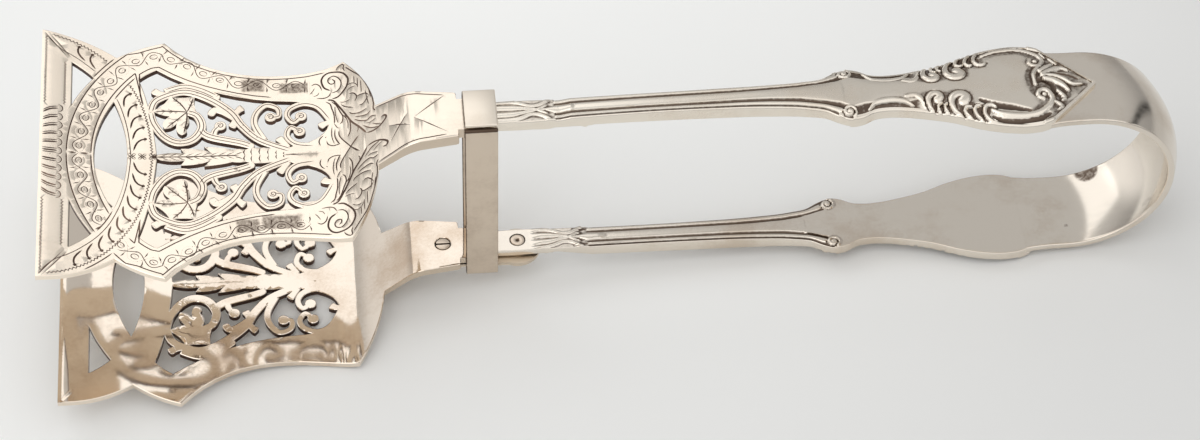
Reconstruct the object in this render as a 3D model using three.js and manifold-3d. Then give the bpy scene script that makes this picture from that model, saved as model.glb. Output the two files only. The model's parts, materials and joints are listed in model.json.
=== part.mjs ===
// Asparagus tongs: pierced blades and die-struck arms on a bow spring, guided by a collar.
// Millimetres, +X toward the bow, +Z the way the tongs open, lying on the lower blade and the lower arm.

import * as THREE from "three";
import { mergeVertices } from "three/addons/utils/BufferGeometryUtils.js";
import Module from "manifold-3d";

const wasm = await Module();
wasm.setup();

// Clearances and helpers of the cuts
const solderGap = 0.3;
const slideGap = 0.3;
const boreGap = 0.3;
const overrun = 5;
const mergeDistance = 0.0003;

// Opening between the arms' inner faces
const halfOpening = 19.6;

// Blades
const bladeReach = 87.2;
const bladeHalfWidth = 34.5;
const bladeThickness = 1.3;
const crankDrop = 9.9;
const shankHalfWidth = 6.2;
const upperShankThickness = 2.8;
const lowerShankThickness = 1.8;
const upperLapLength = 5.4;
const lowerLapLength = 0;
const stemWidth = 1.8;
const tendrilWidth = 1.25;
const scrollEyeRadius = 1.3;
const budRadius = 0.8;

// Guide collar
const shankGap = 1.2;
const collarLength = 7;
const collarWall = 0.95;
const collarBore = 9.3;
const collarBase = 0.9;
const capThickness = 0.9;
const capOverlap = 0.45;
const capPlay = 0.8;
const collarChamfer = 0.35;

// Saddle plate and its two fasteners
const saddleThickness = 0.9;
const saddleEndRadius = 5;
const screwSetback = 4.8;
const pinSetback = 4.6;
const screwHeadRadius = 1.6;
const screwHeadDepth = 0.9;
const screwShaftRadius = 1;
const slotWidth = 0.45;
const slotDepth = 0.35;
const pinRadius = 1.55;
const pinTailRadius = 1;
const dimpleRadius = 0.5;
const dimpleDepth = 0.3;

// Handle arms
const handleLength = 131.3;
const armHalfWidth = 11.6;
const armThickness = 3.8;
const armOuterChamfer = 0.5;
const armInnerChamfer = 0.25;
const thinLength = 13.3;

// Bow spring
const strapThickness = 1.5;
const strapHalfWidth = 10;
const strapCrown = 2.2;
const lapLength = 11;
const bowStraight = 8.3;

// Steps of the round forms
const roundSteps = 24;
const bowSteps = 24;
const strapSteps = 6;
const curveSteps = 8;
const splineSteps = 4;

// Places worked out from the sizes above
const collarFront = shankGap;
const collarRear = collarFront + collarLength;
const collarMiddle = (collarFront + collarRear) / 2;
const tongueHalfWidth = collarBore / 2 - slideGap;
const screwX = collarFront - screwSetback;
const pinX = collarRear + pinSetback;
const apexX = collarMiddle + handleLength;
const bowStartX = apexX - lapLength;
const bowCentreX = bowStartX + bowStraight;
const lowerFace = -halfOpening;
const saddleTop = lowerFace - lowerShankThickness - solderGap;
const saddleBottom = saddleTop - saddleThickness;
const collarFloor = saddleBottom - solderGap;
const capUnderside = halfOpening + upperShankThickness + capPlay;

// The blade's half outline: a start point, then a control point and an end point for each curve
const outlineShares = [
  [1, 1],
  [0.9, 0.97, 0.822, 0.817],
  [0.765, 0.92, 0.706, 0.959],
  [0.56, 0.52, 0.266, 0.722],
  [0.205, 0.5, 0.194, 0.243],
];
const cornerOpeningShares = [
  [0.928, 0.748],
  [0.9, 0.7, 0.876, 0.632],
  [0.914, 0.4925, 0.928, 0.383],
];
const lensShares = [
  [0.827, 0.439],
  [0.919, 0, 0.827, -0.439],
  [0.763, 0, 0.827, 0.439],
];
const fieldShares = [
  [0.724, 0],
  [0.736, 0.405, 0.768, 0.638],
  [0.75, 0.69, 0.725, 0.725],
  [0.585, 0.46, 0.4, 0.44],
  [0.315, 0.43, 0.308, 0.26],
  [0.31, 0.11, 0.401, 0.067],
  [0.42, 0.04, 0.43, 0],
];

// Openwork of one half: thick stems and petals, thin scrolls that end in an eye, and short buds
const stemShares = [
  [[0.74, 0.37], [0.724, 0.475], [0.661, 0.542], [0.602, 0.484], [0.547, 0.363], [0.519, 0.242], [0.477, 0.125], [0.4, 0.03]],
  [[0.74, 0.37], [0.732, 0.275], [0.707, 0.17], [0.674, 0.12], [0.638, 0.145], [0.617, 0.24], [0.627, 0.335], [0.652, 0.372]],
  [[0.705, 0.545], [0.66, 0.585], [0.62, 0.555], [0.58, 0.49]],
  [[0.618, 0.22], [0.61, 0.185], [0.585, 0.151], [0.526, 0.108], [0.5, 0.08]],
];
const scrollShares = [
  [[0.467, 0.125], [0.489, 0.25], [0.485, 0.345], [0.461, 0.415], [0.433, 0.388], [0.43, 0.325], [0.45, 0.315]],
  [[0.3, 0.24], [0.331, 0.378], [0.366, 0.42], [0.4, 0.385], [0.41, 0.325], [0.395, 0.268], [0.376, 0.315]],
  [[0.34, 0.065], [0.39, 0.085], [0.412, 0.155], [0.402, 0.225], [0.381, 0.19]],
  [[0.59, 0.16], [0.585, 0.21], [0.572, 0.25]],
];
const budShares = [
  [[0.54, 0.31], [0.567, 0.365], [0.585, 0.38], [0.597, 0.335]],
  [[0.535, 0.32], [0.538, 0.27], [0.546, 0.235]],
  [[0.3, 0.25], [0.32, 0.235], [0.332, 0.215]],
  [[0.41, 0.06], [0.425, 0.115], [0.434, 0.145]],
  [[0.54, 0.33], [0.526, 0.38], [0.516, 0.4]],
  [[0.7, 0.52], [0.72, 0.53], [0.735, 0.555]],
];
const leafShares = [
  [0.647, 0.384],
  [0.645, 0.37, 0.629, 0.375],
  [0.637, 0.43, 0.632, 0.505],
  [0.66, 0.48, 0.694, 0.505],
  [0.7, 0.44, 0.735, 0.38],
  [0.715, 0.34, 0.694, 0.338],
  [0.72, 0.28, 0.706, 0.232],
  [0.685, 0.235, 0.677, 0.28],
  [0.683, 0.2, 0.665, 0.18],
  [0.645, 0.2, 0.657, 0.24],
  [0.64, 0.29, 0.651, 0.344],
];
const featherShares = [
  [0.745, 0],
  [0.7, 0.05, 0.66, 0.03],
  [0.664, 0.05, 0.668, 0.068],
  [0.62, 0.07, 0.597, 0.034],
  [0.604, 0.055, 0.612, 0.08],
  [0.565, 0.07, 0.545, 0.05],
  [0.53, 0.06, 0.51, 0.05],
];
const calyxShares = [
  [0.53, 0],
  [0.525, 0.055, 0.49, 0.064],
  [0.45, 0.07, 0.385, 0.02],
];

// Side profile of a blade from the tip to the shank: place, drop, and share of the shank's extra thickness
const profileShares = [
  [1.1, 0.3, 0],
  [1, 0.394, 0],
  [0.93, 0.55, 0],
  [0.86, 0.68, 0],
  [0.79, 0.785, 0],
  [0.711, 0.869, 0],
  [0.413, 0.995, 0],
  [0.344, 1, 0],
  [0.298, 0.955, 0.1],
  [0.252, 0.815, 0.25],
  [0.206, 0.575, 0.45],
  [0.16, 0.29, 0.75],
  [0.127, 0.09, 0.95],
  [0.1, 0, 1],
  [-0.5, 0, 1],
];

// Plan and thickness of an arm from the collar to the arrow's point: place, half width, thickness
const armShares = [
  [0, 0.25, 0.74],
  [0.0325, 0.262, 0.76],
  [0.063, 0.27, 0.8],
  [0.116, 0.256, 0.84],
  [0.191, 0.247, 0.92],
  [0.3575, 0.252, 1],
  [0.463, 0.285, 0.95],
  [0.524, 0.345, 0.86],
  [0.558, 0.43, 0.78],
  [0.573, 0.53, 0.74],
  [0.59, 0.61, 0.7],
  [0.6145, 0.58, 0.67],
  [0.633, 0.475, 0.64],
  [0.656, 0.44, 0.62],
  [0.679, 0.455, 0.61],
  [0.72, 0.54, 0.6],
  [0.758, 0.65, 0.6],
  [0.8035, 0.85, 0.6],
  [0.849, 0.975, 0.6],
  [0.879, 1, 0.6],
  [0.902, 0.965, 0.6],
  [0.9195, 0.89, 0.6],
  [0.96, 0.46, 0.6],
  [1, 0.03, 0.6],
];
const thinRampShare = 0.22;
const chamferLimitShare = 0.33;

const silver = { color: 0xd6cfc4, roughness: 0.32, metalness: 1 };
const wornSilver = { color: 0xc3baac, roughness: 0.38, metalness: 1 };
const darkSilver = { color: 0xa89c8d, roughness: 0.42, metalness: 1 };

// A closed solid from a geometry, and a geometry from a solid
function solidOf(geometry) {
  const bare = new THREE.BufferGeometry();
  const source = geometry.index ? geometry.toNonIndexed() : geometry;
  bare.setAttribute("position", source.getAttribute("position").clone());
  const merged = mergeVertices(bare, mergeDistance);
  const mesh = new wasm.Mesh({
    numProp: 3,
    vertProperties: new Float32Array(merged.getAttribute("position").array),
    triVerts: new Uint32Array(merged.index.array),
  });
  return new wasm.Manifold(mesh);
}

function geometryOf(solid) {
  const mesh = solid.getMesh();
  const geometry = new THREE.BufferGeometry();
  geometry.setAttribute("position", new THREE.BufferAttribute(mesh.vertProperties, 3));
  geometry.setIndex(new THREE.BufferAttribute(mesh.triVerts, 1));
  geometry.computeVertexNormals();
  return geometry;
}

function boxSolid(low, high) {
  const size = high.clone().sub(low);
  const box = new THREE.BoxGeometry(size.x, size.y, size.z);
  box.translate(low.x + size.x / 2, low.y + size.y / 2, low.z + size.z / 2);
  return solidOf(box);
}

// A cylinder that stands on z from low to high
function cylinderSolid(radius, x, low, high) {
  const cylinder = new THREE.CylinderGeometry(radius, radius, high - low, roundSteps);
  cylinder.rotateX(Math.PI / 2);
  cylinder.translate(x, 0, (low + high) / 2);
  return solidOf(cylinder);
}

// A loft through rings of points that all have the same count, closed by flat ends
function loft(rings) {
  const count = rings[0].length;
  const positions = rings.flat().flatMap((point) => [point.x, point.y, point.z]);
  const triangles = [];
  for (let ring = 0; ring + 1 < rings.length; ring += 1) {
    for (let side = 0; side < count; side += 1) {
      const here = ring * count + side;
      const next = ring * count + ((side + 1) % count);
      triangles.push(here, next, next + count, here, next + count, here + count);
    }
  }
  const last = (rings.length - 1) * count;
  for (let side = 1; side + 1 < count; side += 1) {
    triangles.push(0, side + 1, side);
    triangles.push(last, last + side, last + side + 1);
  }
  const geometry = new THREE.BufferGeometry();
  geometry.setAttribute("position", new THREE.Float32BufferAttribute(positions, 3));
  geometry.setIndex(triangles);
  return geometry;
}

// The value of a column of a table of shares at a place along it
function valueAt(table, column, place) {
  const rising = table[0][0] < table[table.length - 1][0];
  const rows = rising ? table : [...table].reverse();
  const after = rows.findIndex((row) => row[0] >= place);
  if (after <= 0) {
    return after === 0 ? rows[0][column] : rows[rows.length - 1][column];
  }
  const [low, high] = [rows[after - 1], rows[after]];
  const part = (place - low[0]) / (high[0] - low[0]);
  return low[column] + (high[column] - low[column]) * part;
}

// Blade plan: shares of its reach and half width to millimetres
function plan([along, across]) {
  return new THREE.Vector2(-along * bladeReach, across * bladeHalfWidth);
}

function trace(path, shares, side) {
  const [start, ...curves] = shares;
  const first = plan([start[0], start[1] * side]);
  path.moveTo(first.x, first.y);
  for (const [controlX, controlY, endX, endY] of curves) {
    const control = plan([controlX, controlY * side]);
    const end = plan([endX, endY * side]);
    path.quadraticCurveTo(control.x, control.y, end.x, end.y);
  }
}

// A flat unit-thick solid under z = 0 from a shape in plan
function sheet(shape, steps) {
  const geometry = new THREE.ExtrudeGeometry(shape, { depth: 1, bevelEnabled: false, curveSegments: steps });
  geometry.translate(0, 0, -1);
  return solidOf(geometry);
}

function mirroredShape(shares, roundEnd) {
  const far = new THREE.Path();
  trace(far, shares, 1);
  const near = new THREE.Path();
  trace(near, shares, -1);
  const farPoints = far.getPoints(curveSteps);
  const nearPoints = near.getPoints(curveSteps).reverse();
  return new THREE.Shape([...farPoints, ...roundEnd, ...nearPoints]);
}

function bladeOutline(tongueEnd) {
  return mirroredShape(outlineShares, [
    new THREE.Vector2(0, shankHalfWidth),
    new THREE.Vector2(0, tongueHalfWidth),
    new THREE.Vector2(tongueEnd, tongueHalfWidth),
    new THREE.Vector2(tongueEnd, -tongueHalfWidth),
    new THREE.Vector2(0, -tongueHalfWidth),
    new THREE.Vector2(0, -shankHalfWidth),
  ]);
}

function patchSheet(shares, side) {
  const shape = new THREE.Shape();
  trace(shape, shares, side);
  return sheet(shape, curveSteps);
}

// A bar of even width along a smooth line in plan, with a round eye at its last point
function barSheet(shares, side, width, eyeRadius) {
  const line = new THREE.SplineCurve(shares.map(([along, across]) => plan([along, across * side])));
  const steps = (shares.length - 1) * splineSteps;
  const left = [];
  const right = [];
  for (let step = 0; step <= steps; step += 1) {
    const centre = line.getPoint(step / steps);
    const tangent = line.getTangent(step / steps);
    const offset = new THREE.Vector2(-tangent.y, tangent.x).multiplyScalar(width / 2);
    left.push(centre.clone().add(offset));
    right.unshift(centre.clone().sub(offset));
  }
  const bar = sheet(new THREE.Shape([...left, ...right]), splineSteps);
  const tip = line.getPoint(1);
  const eye = new THREE.Shape();
  eye.absarc(tip.x, tip.y, eyeRadius, 0, Math.PI * 2);
  return bar.add(sheet(eye, splineSteps));
}

function openwork() {
  const pieces = [featherShares, calyxShares].map((shares) => sheet(mirroredShape(shares, []), curveSteps));
  for (const side of [1, -1]) {
    pieces.push(patchSheet(leafShares, side));
    pieces.push(...stemShares.map((shares) => barSheet(shares, side, stemWidth, stemWidth / 2)));
    pieces.push(...scrollShares.map((shares) => barSheet(shares, side, tendrilWidth, scrollEyeRadius)));
    pieces.push(...budShares.map((shares) => barSheet(shares, side, tendrilWidth, budRadius)));
  }
  return pieces.reduce((joined, piece) => joined.add(piece));
}

// The flat pierced sheet of a blade with its shank and tongue
function piercedSheet(tongueEnd) {
  let flat = sheet(bladeOutline(tongueEnd), curveSteps);
  flat = flat.subtract(patchSheet(lensShares, 1));
  for (const side of [1, -1]) {
    flat = flat.subtract(patchSheet(cornerOpeningShares, side));
  }
  const window = sheet(mirroredShape(fieldShares, []), curveSteps);
  const bars = openwork().intersect(window);
  return flat.subtract(window).add(bars);
}

// The sheet bent to the side profile: cut in strips, each strip sheared, the strips joined again
function bendSheet(flat, shankThickness) {
  const stations = profileShares.map((row) => -row[0] * bladeReach);
  const halfBox = bladeHalfWidth + overrun;
  const strips = stations.slice(1).map((end, index) => {
    const low = new THREE.Vector3(stations[index], -halfBox, -overrun);
    const high = new THREE.Vector3(end, halfBox, overrun);
    const strip = geometryOf(flat.intersect(boxSolid(low, high)));
    const position = strip.getAttribute("position");
    for (let vertex = 0; vertex < position.count; vertex += 1) {
      const ends = [stations[index], end];
      const inPlane = ends.find((plane) => Math.abs(position.getX(vertex) - plane) < mergeDistance);
      position.setX(vertex, inPlane ?? position.getX(vertex));
      const place = -position.getX(vertex) / bladeReach;
      const top = -crankDrop * valueAt(profileShares, 1, place);
      const extra = (shankThickness - bladeThickness) * valueAt(profileShares, 2, place);
      position.setZ(vertex, top + position.getZ(vertex) * (bladeThickness + extra));
    }
    return solidOf(strip);
  });
  return strips.reduce((joined, strip) => joined.add(strip));
}

// Upper blade: its tongue reaches under the arm's end inside the collar
function upperBlade() {
  const tongueEnd = collarMiddle + upperLapLength / 2;
  const solid = bendSheet(piercedSheet(tongueEnd), upperShankThickness);
  const lapStart = collarMiddle - upperLapLength / 2;
  const halfTongue = tongueHalfWidth + overrun;
  const low = new THREE.Vector3(lapStart, -halfTongue, -upperShankThickness / 2);
  const high = new THREE.Vector3(tongueEnd + overrun, halfTongue, overrun);
  return geometryOf(solid.subtract(boxSolid(low, high)));
}

// Lower blade: its tongue butts against the arm's end and its shank is bored for the screw
function lowerBlade() {
  const tongueEnd = collarMiddle - lowerLapLength / 2;
  let solid = bendSheet(piercedSheet(tongueEnd), lowerShankThickness);
  const headFloor = -(screwHeadDepth + boreGap);
  solid = solid.subtract(cylinderSolid(screwHeadRadius + boreGap, screwX, headFloor, overrun));
  solid = solid.subtract(cylinderSolid(screwShaftRadius + boreGap, screwX, -overrun, overrun));
  return geometryOf(solid);
}

// An arm from the collar's middle to the arrow's point: z = 0 is its inner face, +Z its outer face
function armBody(startX, endThickness) {
  const thinEnd = collarRear + thinLength;
  const rings = armShares.map(([place, widthShare, thicknessShare]) => {
    const x = place === 0 ? startX : collarMiddle + place * handleLength;
    const half = widthShare * armHalfWidth;
    const ramp = endThickness + Math.max(0, x - thinEnd) * thinRampShare;
    const full = thicknessShare * armThickness;
    const thickness = place < lapPlace() ? Math.min(full, Math.max(endThickness, ramp)) : full;
    const outer = Math.min(armOuterChamfer, half * chamferLimitShare);
    const inner = Math.min(armInnerChamfer, half * chamferLimitShare);
    return [
      new THREE.Vector3(x, -half + inner, 0),
      new THREE.Vector3(x, half - inner, 0),
      new THREE.Vector3(x, half, inner),
      new THREE.Vector3(x, half, thickness - outer),
      new THREE.Vector3(x, half - outer, thickness),
      new THREE.Vector3(x, -half + outer, thickness),
      new THREE.Vector3(x, -half, thickness - outer),
      new THREE.Vector3(x, -half, inner),
    ];
  });
  const halfRecess = armHalfWidth + overrun;
  const low = new THREE.Vector3(bowStartX - solderGap, -halfRecess, -overrun);
  const high = new THREE.Vector3(apexX + overrun, halfRecess, strapThickness + solderGap);
  return solidOf(loft(rings)).subtract(boxSolid(low, high));
}

function lapPlace() {
  return (bowStartX - collarMiddle) / handleLength;
}

// Upper arm: the outer half of its end lies over the blade's tongue
function upperArm() {
  const lapStart = collarMiddle - upperLapLength / 2 + solderGap;
  const lapEnd = collarMiddle + upperLapLength / 2 + solderGap;
  const halfLap = armHalfWidth + overrun;
  const low = new THREE.Vector3(lapStart - overrun, -halfLap, -overrun);
  const high = new THREE.Vector3(lapEnd, halfLap, upperShankThickness / 2 + solderGap);
  return geometryOf(armBody(lapStart, upperShankThickness).subtract(boxSolid(low, high)));
}

// Lower arm: thin where it lies on the saddle plate, bored for the pin
function lowerArm() {
  const startX = collarMiddle + lowerLapLength / 2 + solderGap;
  const bore = cylinderSolid(pinRadius + boreGap, pinX, -overrun, overrun);
  return geometryOf(armBody(startX, lowerShankThickness).subtract(bore));
}

// The bow: a crowned strap that goes straight, round and straight again
function bowSpring() {
  const path = [];
  path.push({ x: bowStartX, z: halfOpening, turn: 0 });
  for (let step = 0; step <= bowSteps; step += 1) {
    const turn = (step / bowSteps) * Math.PI;
    const x = bowCentreX + halfOpening * Math.sin(turn);
    path.push({ x, z: halfOpening * Math.cos(turn), turn });
  }
  path.push({ x: bowStartX, z: -halfOpening, turn: Math.PI });
  const rings = path.map(({ x, z, turn }) => {
    const outward = new THREE.Vector3(Math.sin(turn), 0, Math.cos(turn));
    const crown = strapCrown * Math.sin(turn);
    const side = (thickness, share) => {
      const lift = thickness + crown * (1 - share * share);
      return new THREE.Vector3(x, share * strapHalfWidth, z).addScaledVector(outward, lift);
    };
    const shares = Array.from({ length: strapSteps + 1 }, (unused, index) => (index / strapSteps) * 2 - 1);
    const outer = shares.map((share) => side(strapThickness, share));
    const inner = shares.map((share) => side(0, share)).reverse();
    return [...outer, ...inner].reverse();
  });
  return loft(rings);
}

// Collar frame: two sides and a base, open at the top for the cap
function collarFrame() {
  const inner = collarBore / 2;
  const outer = inner + collarWall;
  const top = capUnderside - solderGap;
  const bottom = collarFloor - collarBase;
  const shape = new THREE.Shape([
    new THREE.Vector2(-outer + collarChamfer, bottom),
    new THREE.Vector2(outer - collarChamfer, bottom),
    new THREE.Vector2(outer, bottom + collarChamfer),
    new THREE.Vector2(outer, top - collarChamfer),
    new THREE.Vector2(outer - collarChamfer, top),
    new THREE.Vector2(inner, top),
    new THREE.Vector2(inner, collarFloor),
    new THREE.Vector2(-inner, collarFloor),
    new THREE.Vector2(-inner, top),
    new THREE.Vector2(-outer + collarChamfer, top),
    new THREE.Vector2(-outer, top - collarChamfer),
    new THREE.Vector2(-outer, bottom + collarChamfer),
  ]);
  return alongCollar(shape);
}

function collarCap() {
  const half = collarBore / 2 + capOverlap;
  const top = capUnderside + capThickness;
  const shape = new THREE.Shape([
    new THREE.Vector2(-half, capUnderside),
    new THREE.Vector2(half, capUnderside),
    new THREE.Vector2(half, top - collarChamfer),
    new THREE.Vector2(half - collarChamfer, top),
    new THREE.Vector2(-half + collarChamfer, top),
    new THREE.Vector2(-half, top - collarChamfer),
  ]);
  return alongCollar(shape);
}

// A section in Y and Z drawn along the collar's length
function alongCollar(shape) {
  const geometry = new THREE.ExtrudeGeometry(shape, { depth: collarLength, bevelEnabled: false });
  geometry.applyMatrix4(new THREE.Matrix4().set(0, 0, 1, collarFront, 1, 0, 0, 0, 0, 1, 0, 0, 0, 0, 0, 1));
  return geometryOf(solidOf(geometry));
}

// Saddle plate: a tongue through the collar with a round end under the arm
function saddlePlate() {
  const frontRadius = tongueHalfWidth;
  const joint = Math.asin(frontRadius / saddleEndRadius);
  const shape = new THREE.Shape();
  shape.absarc(pinX, 0, saddleEndRadius, Math.PI + joint, Math.PI * 3 - joint);
  shape.absarc(screwX, 0, frontRadius, Math.PI / 2, Math.PI * 3 / 2);
  const geometry = new THREE.ExtrudeGeometry(shape, {
    depth: saddleThickness,
    bevelEnabled: false,
    curveSegments: roundSteps / 2,
  });
  geometry.translate(0, 0, saddleBottom);
  let solid = solidOf(geometry);
  const low = saddleBottom - overrun;
  const high = saddleTop + overrun;
  solid = solid.subtract(cylinderSolid(screwShaftRadius + boreGap, screwX, low, high));
  solid = solid.subtract(cylinderSolid(pinTailRadius + boreGap, pinX, low, high));
  return geometryOf(solid);
}

// A turned fastener along Z from a list of radius and height pairs, head first
function turned(profile, x) {
  const points = profile.map(([radius, height]) => new THREE.Vector2(radius, height)).reverse();
  const geometry = new THREE.LatheGeometry(points, roundSteps);
  geometry.rotateX(Math.PI / 2);
  geometry.translate(x, 0, 0);
  return solidOf(geometry);
}

function bladeScrew() {
  const headFloor = lowerFace - screwHeadDepth;
  const body = turned([
    [0, lowerFace],
    [screwHeadRadius, lowerFace],
    [screwHeadRadius, headFloor],
    [screwShaftRadius, headFloor],
    [screwShaftRadius, saddleBottom],
    [0, saddleBottom],
  ], screwX);
  const halfSlot = slotWidth / 2;
  const low = new THREE.Vector3(screwX - screwHeadRadius - overrun, -halfSlot, lowerFace - slotDepth);
  const high = new THREE.Vector3(screwX + screwHeadRadius + overrun, halfSlot, lowerFace + overrun);
  return geometryOf(body.subtract(boxSolid(low, high)));
}

function armPin() {
  const shoulder = saddleTop + solderGap;
  const body = turned([
    [0, lowerFace - dimpleDepth],
    [dimpleRadius, lowerFace],
    [pinRadius, lowerFace],
    [pinRadius, shoulder],
    [pinTailRadius, shoulder],
    [pinTailRadius, saddleBottom],
    [0, saddleBottom],
  ], pinX);
  return geometryOf(body);
}

function named(name, geometry, finish) {
  const mesh = new THREE.Mesh(geometry, new THREE.MeshStandardMaterial(finish));
  mesh.name = name;
  return mesh;
}

// Lower half in the arms' own frame, where both arms run level along X
const lowerHalf = new THREE.Group();
const lowerBladeMesh = named("lower_blade", lowerBlade(), silver);
lowerBladeMesh.position.z = lowerFace;
const lowerArmMesh = named("lower_arm", lowerArm(), wornSilver);
lowerArmMesh.rotation.x = Math.PI;
lowerArmMesh.position.z = lowerFace;
lowerHalf.add(lowerBladeMesh, lowerArmMesh);
lowerHalf.add(named("collar_frame", collarFrame(), wornSilver));
lowerHalf.add(named("collar_cap", collarCap(), silver));
lowerHalf.add(named("saddle_plate", saddlePlate(), darkSilver));
lowerHalf.add(named("blade_screw", bladeScrew(), darkSilver));
lowerHalf.add(named("arm_pin", armPin(), darkSilver));

const upperHalf = new THREE.Group();
const upperBladeMesh = named("upper_blade", upperBlade(), silver);
upperBladeMesh.position.z = halfOpening + upperShankThickness;
const upperArmMesh = named("upper_arm", upperArm(), wornSilver);
upperArmMesh.position.z = halfOpening;
upperHalf.add(upperBladeMesh, upperArmMesh);

const tongs = new THREE.Group();
tongs.add(lowerHalf, upperHalf, named("bow_spring", bowSpring(), silver));

// The tongs lie on the heel of the lower blade and the widest part of the lower arm
function restTilt() {
  tongs.updateMatrixWorld(true);
  const corner = new THREE.Vector3();
  const corners = [];
  tongs.traverse((node) => {
    const position = node.isMesh ? node.geometry.getAttribute("position") : null;
    for (let vertex = 0; position && vertex < position.count; vertex += 1) {
      corner.fromBufferAttribute(position, vertex).applyMatrix4(node.matrixWorld);
      corners.push(corner.clone());
    }
  });
  const heel = corners.reduce((lowest, point) => (point.z < lowest.z ? point : lowest));
  const slopes = corners
    .filter((point) => point.x > collarRear)
    .map((point) => Math.atan2(point.z - heel.z, point.x - heel.x));
  return Math.min(...slopes);
}

const part = new THREE.Group();
tongs.rotation.y = restTilt();
part.add(tongs);
part.updateMatrixWorld(true);
const bounds = new THREE.Box3().setFromObject(tongs, true);
tongs.position.set(-(bounds.min.x + bounds.max.x) / 2, -(bounds.min.y + bounds.max.y) / 2, -bounds.min.z);

export default part;
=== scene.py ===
import json
import math

import bmesh
import bpy
import numpy as np
from mathutils import Matrix, Vector, kdtree
from mathutils.geometry import delaunay_2d_cdt


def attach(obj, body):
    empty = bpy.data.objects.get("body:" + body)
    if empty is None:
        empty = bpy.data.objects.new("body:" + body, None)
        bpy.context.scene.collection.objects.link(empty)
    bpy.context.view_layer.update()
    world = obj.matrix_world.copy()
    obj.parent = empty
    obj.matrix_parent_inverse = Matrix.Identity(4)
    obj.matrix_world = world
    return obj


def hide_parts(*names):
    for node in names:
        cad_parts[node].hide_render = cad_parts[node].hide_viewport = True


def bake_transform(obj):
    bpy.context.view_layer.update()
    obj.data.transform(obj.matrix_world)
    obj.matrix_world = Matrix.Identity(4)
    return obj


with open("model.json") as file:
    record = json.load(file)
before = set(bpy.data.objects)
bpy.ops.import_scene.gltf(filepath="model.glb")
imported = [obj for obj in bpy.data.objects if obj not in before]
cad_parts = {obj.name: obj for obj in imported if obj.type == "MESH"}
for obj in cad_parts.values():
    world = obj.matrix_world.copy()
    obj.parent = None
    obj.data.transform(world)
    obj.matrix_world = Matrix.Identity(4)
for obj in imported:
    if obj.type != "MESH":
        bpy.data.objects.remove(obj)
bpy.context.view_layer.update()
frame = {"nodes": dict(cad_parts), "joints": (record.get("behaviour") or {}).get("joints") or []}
print("frame loaded:", len(frame["nodes"]), "nodes")

mm = 0.001
tiny = 1e-9

# Where the arms' own frame lies in the row: level arms along X, x = 0 at the shank's shoulder
tongs = {
    "tilt": math.radians(3.075886),
    "hingeX": 133.3,
    "hingeZ": 20.35,
    "halfOpening": 19.6,
}


def turnToRow(points):
    # The level arms are tilted in the row
    x, y, z = np.asarray(points, float).T
    c, s = math.cos(tongs["tilt"]), math.sin(tongs["tilt"])
    return np.column_stack([x * c + z * s, y, z * c - x * s])


def place(points):
    # From millimetres in the arms' frame to metres in the row
    fromHinge = np.asarray(points, float) - (tongs["hingeX"], 0, tongs["hingeZ"])
    return np.array(frame["joints"][0]["pos_m"]) + turnToRow(fromHinge) * mm


# Curves in plan
def hermite(t, a, b, leaving, arriving):
    square, cube = t * t, t ** 3
    start = (2 * cube - 3 * square + 1) * a + (cube - 2 * square + t) * leaving
    return start + (3 * square - 2 * cube) * b + (cube - square) * arriving


def spline(points, steps=6):
    p = np.array(points, float)
    slopes = np.vstack([p[1:2] - p[:1], p[2:] - p[:-2], p[-1:] - p[-2:-1]]) / 2
    out = []
    for i in range(len(p) - 1):
        out += [tuple(hermite(k / steps, p[i], p[i + 1], slopes[i], slopes[i + 1])) for k in range(steps)]
    return out + [tuple(p[-1])]


def arc(centre, radius, start, end, steps):
    angles = [start + (end - start) * i / steps for i in range(steps + 1)]
    return [(centre[0] + radius * math.cos(a), centre[1] + radius * math.sin(a)) for a in angles]


def parallel(points, offset):
    # The line moved sideways, by one offset or by one for each point
    p = np.asarray(points, float)
    tangent = np.gradient(p, axis=0)
    tangent /= np.maximum(np.linalg.norm(tangent, axis=1), tiny)[:, None]
    normal = np.column_stack([-tangent[:, 1], tangent[:, 0]])
    return [tuple(q) for q in p + normal * np.asarray(offset, float).reshape(-1, 1)]


def walk(points, spacing):
    # Places at even distances along a line, each with its direction
    p = np.asarray(points, float)
    run = np.concatenate([[0], np.cumsum(np.linalg.norm(np.diff(p, axis=0), axis=1))])
    count = max(1, round(run[-1] / spacing))
    at = (np.arange(count) + 0.5) * run[-1] / count
    here, after, before = (
        np.column_stack([np.interp(at + shift, run, p[:, axis]) for axis in (0, 1)])
        for shift in (0, spacing / 4, -spacing / 4))
    ahead = after - before
    ahead /= np.linalg.norm(ahead, axis=1)[:, None]
    return list(zip(map(tuple, here), map(tuple, ahead)))


def eased(table, column, at):
    # A smooth line through a column of a table whose first column is the place
    xs, ys = np.array(table)[:, (0, column)].T
    slopes = np.gradient(ys, xs)
    i = np.clip(np.searchsorted(xs, at) - 1, 0, len(xs) - 2)
    width = xs[i + 1] - xs[i]
    t = np.clip((at - xs[i]) / width, 0, 1)
    return hermite(t, ys[i], ys[i + 1], slopes[i] * width, slopes[i + 1] * width)


# Distance from many points to a line in plan, and the place along the line of the nearest point
def distanceTo(px, py, line):
    best, where = np.full(px.shape, np.inf), np.zeros(px.shape)
    pieces = len(line) - 1
    for i, ((ax, ay), (bx, by)) in enumerate(zip(line[:-1], line[1:])):
        length = max((bx - ax) ** 2 + (by - ay) ** 2, tiny)
        t = np.clip(((px - ax) * (bx - ax) + (py - ay) * (by - ay)) / length, 0, 1)
        d = np.hypot(px - ax - t * (bx - ax), py - ay - t * (by - ay))
        nearer = d < best
        best = np.where(nearer, d, best)
        where = np.where(nearer, (i + t) / pieces, where)
    return best, where


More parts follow.
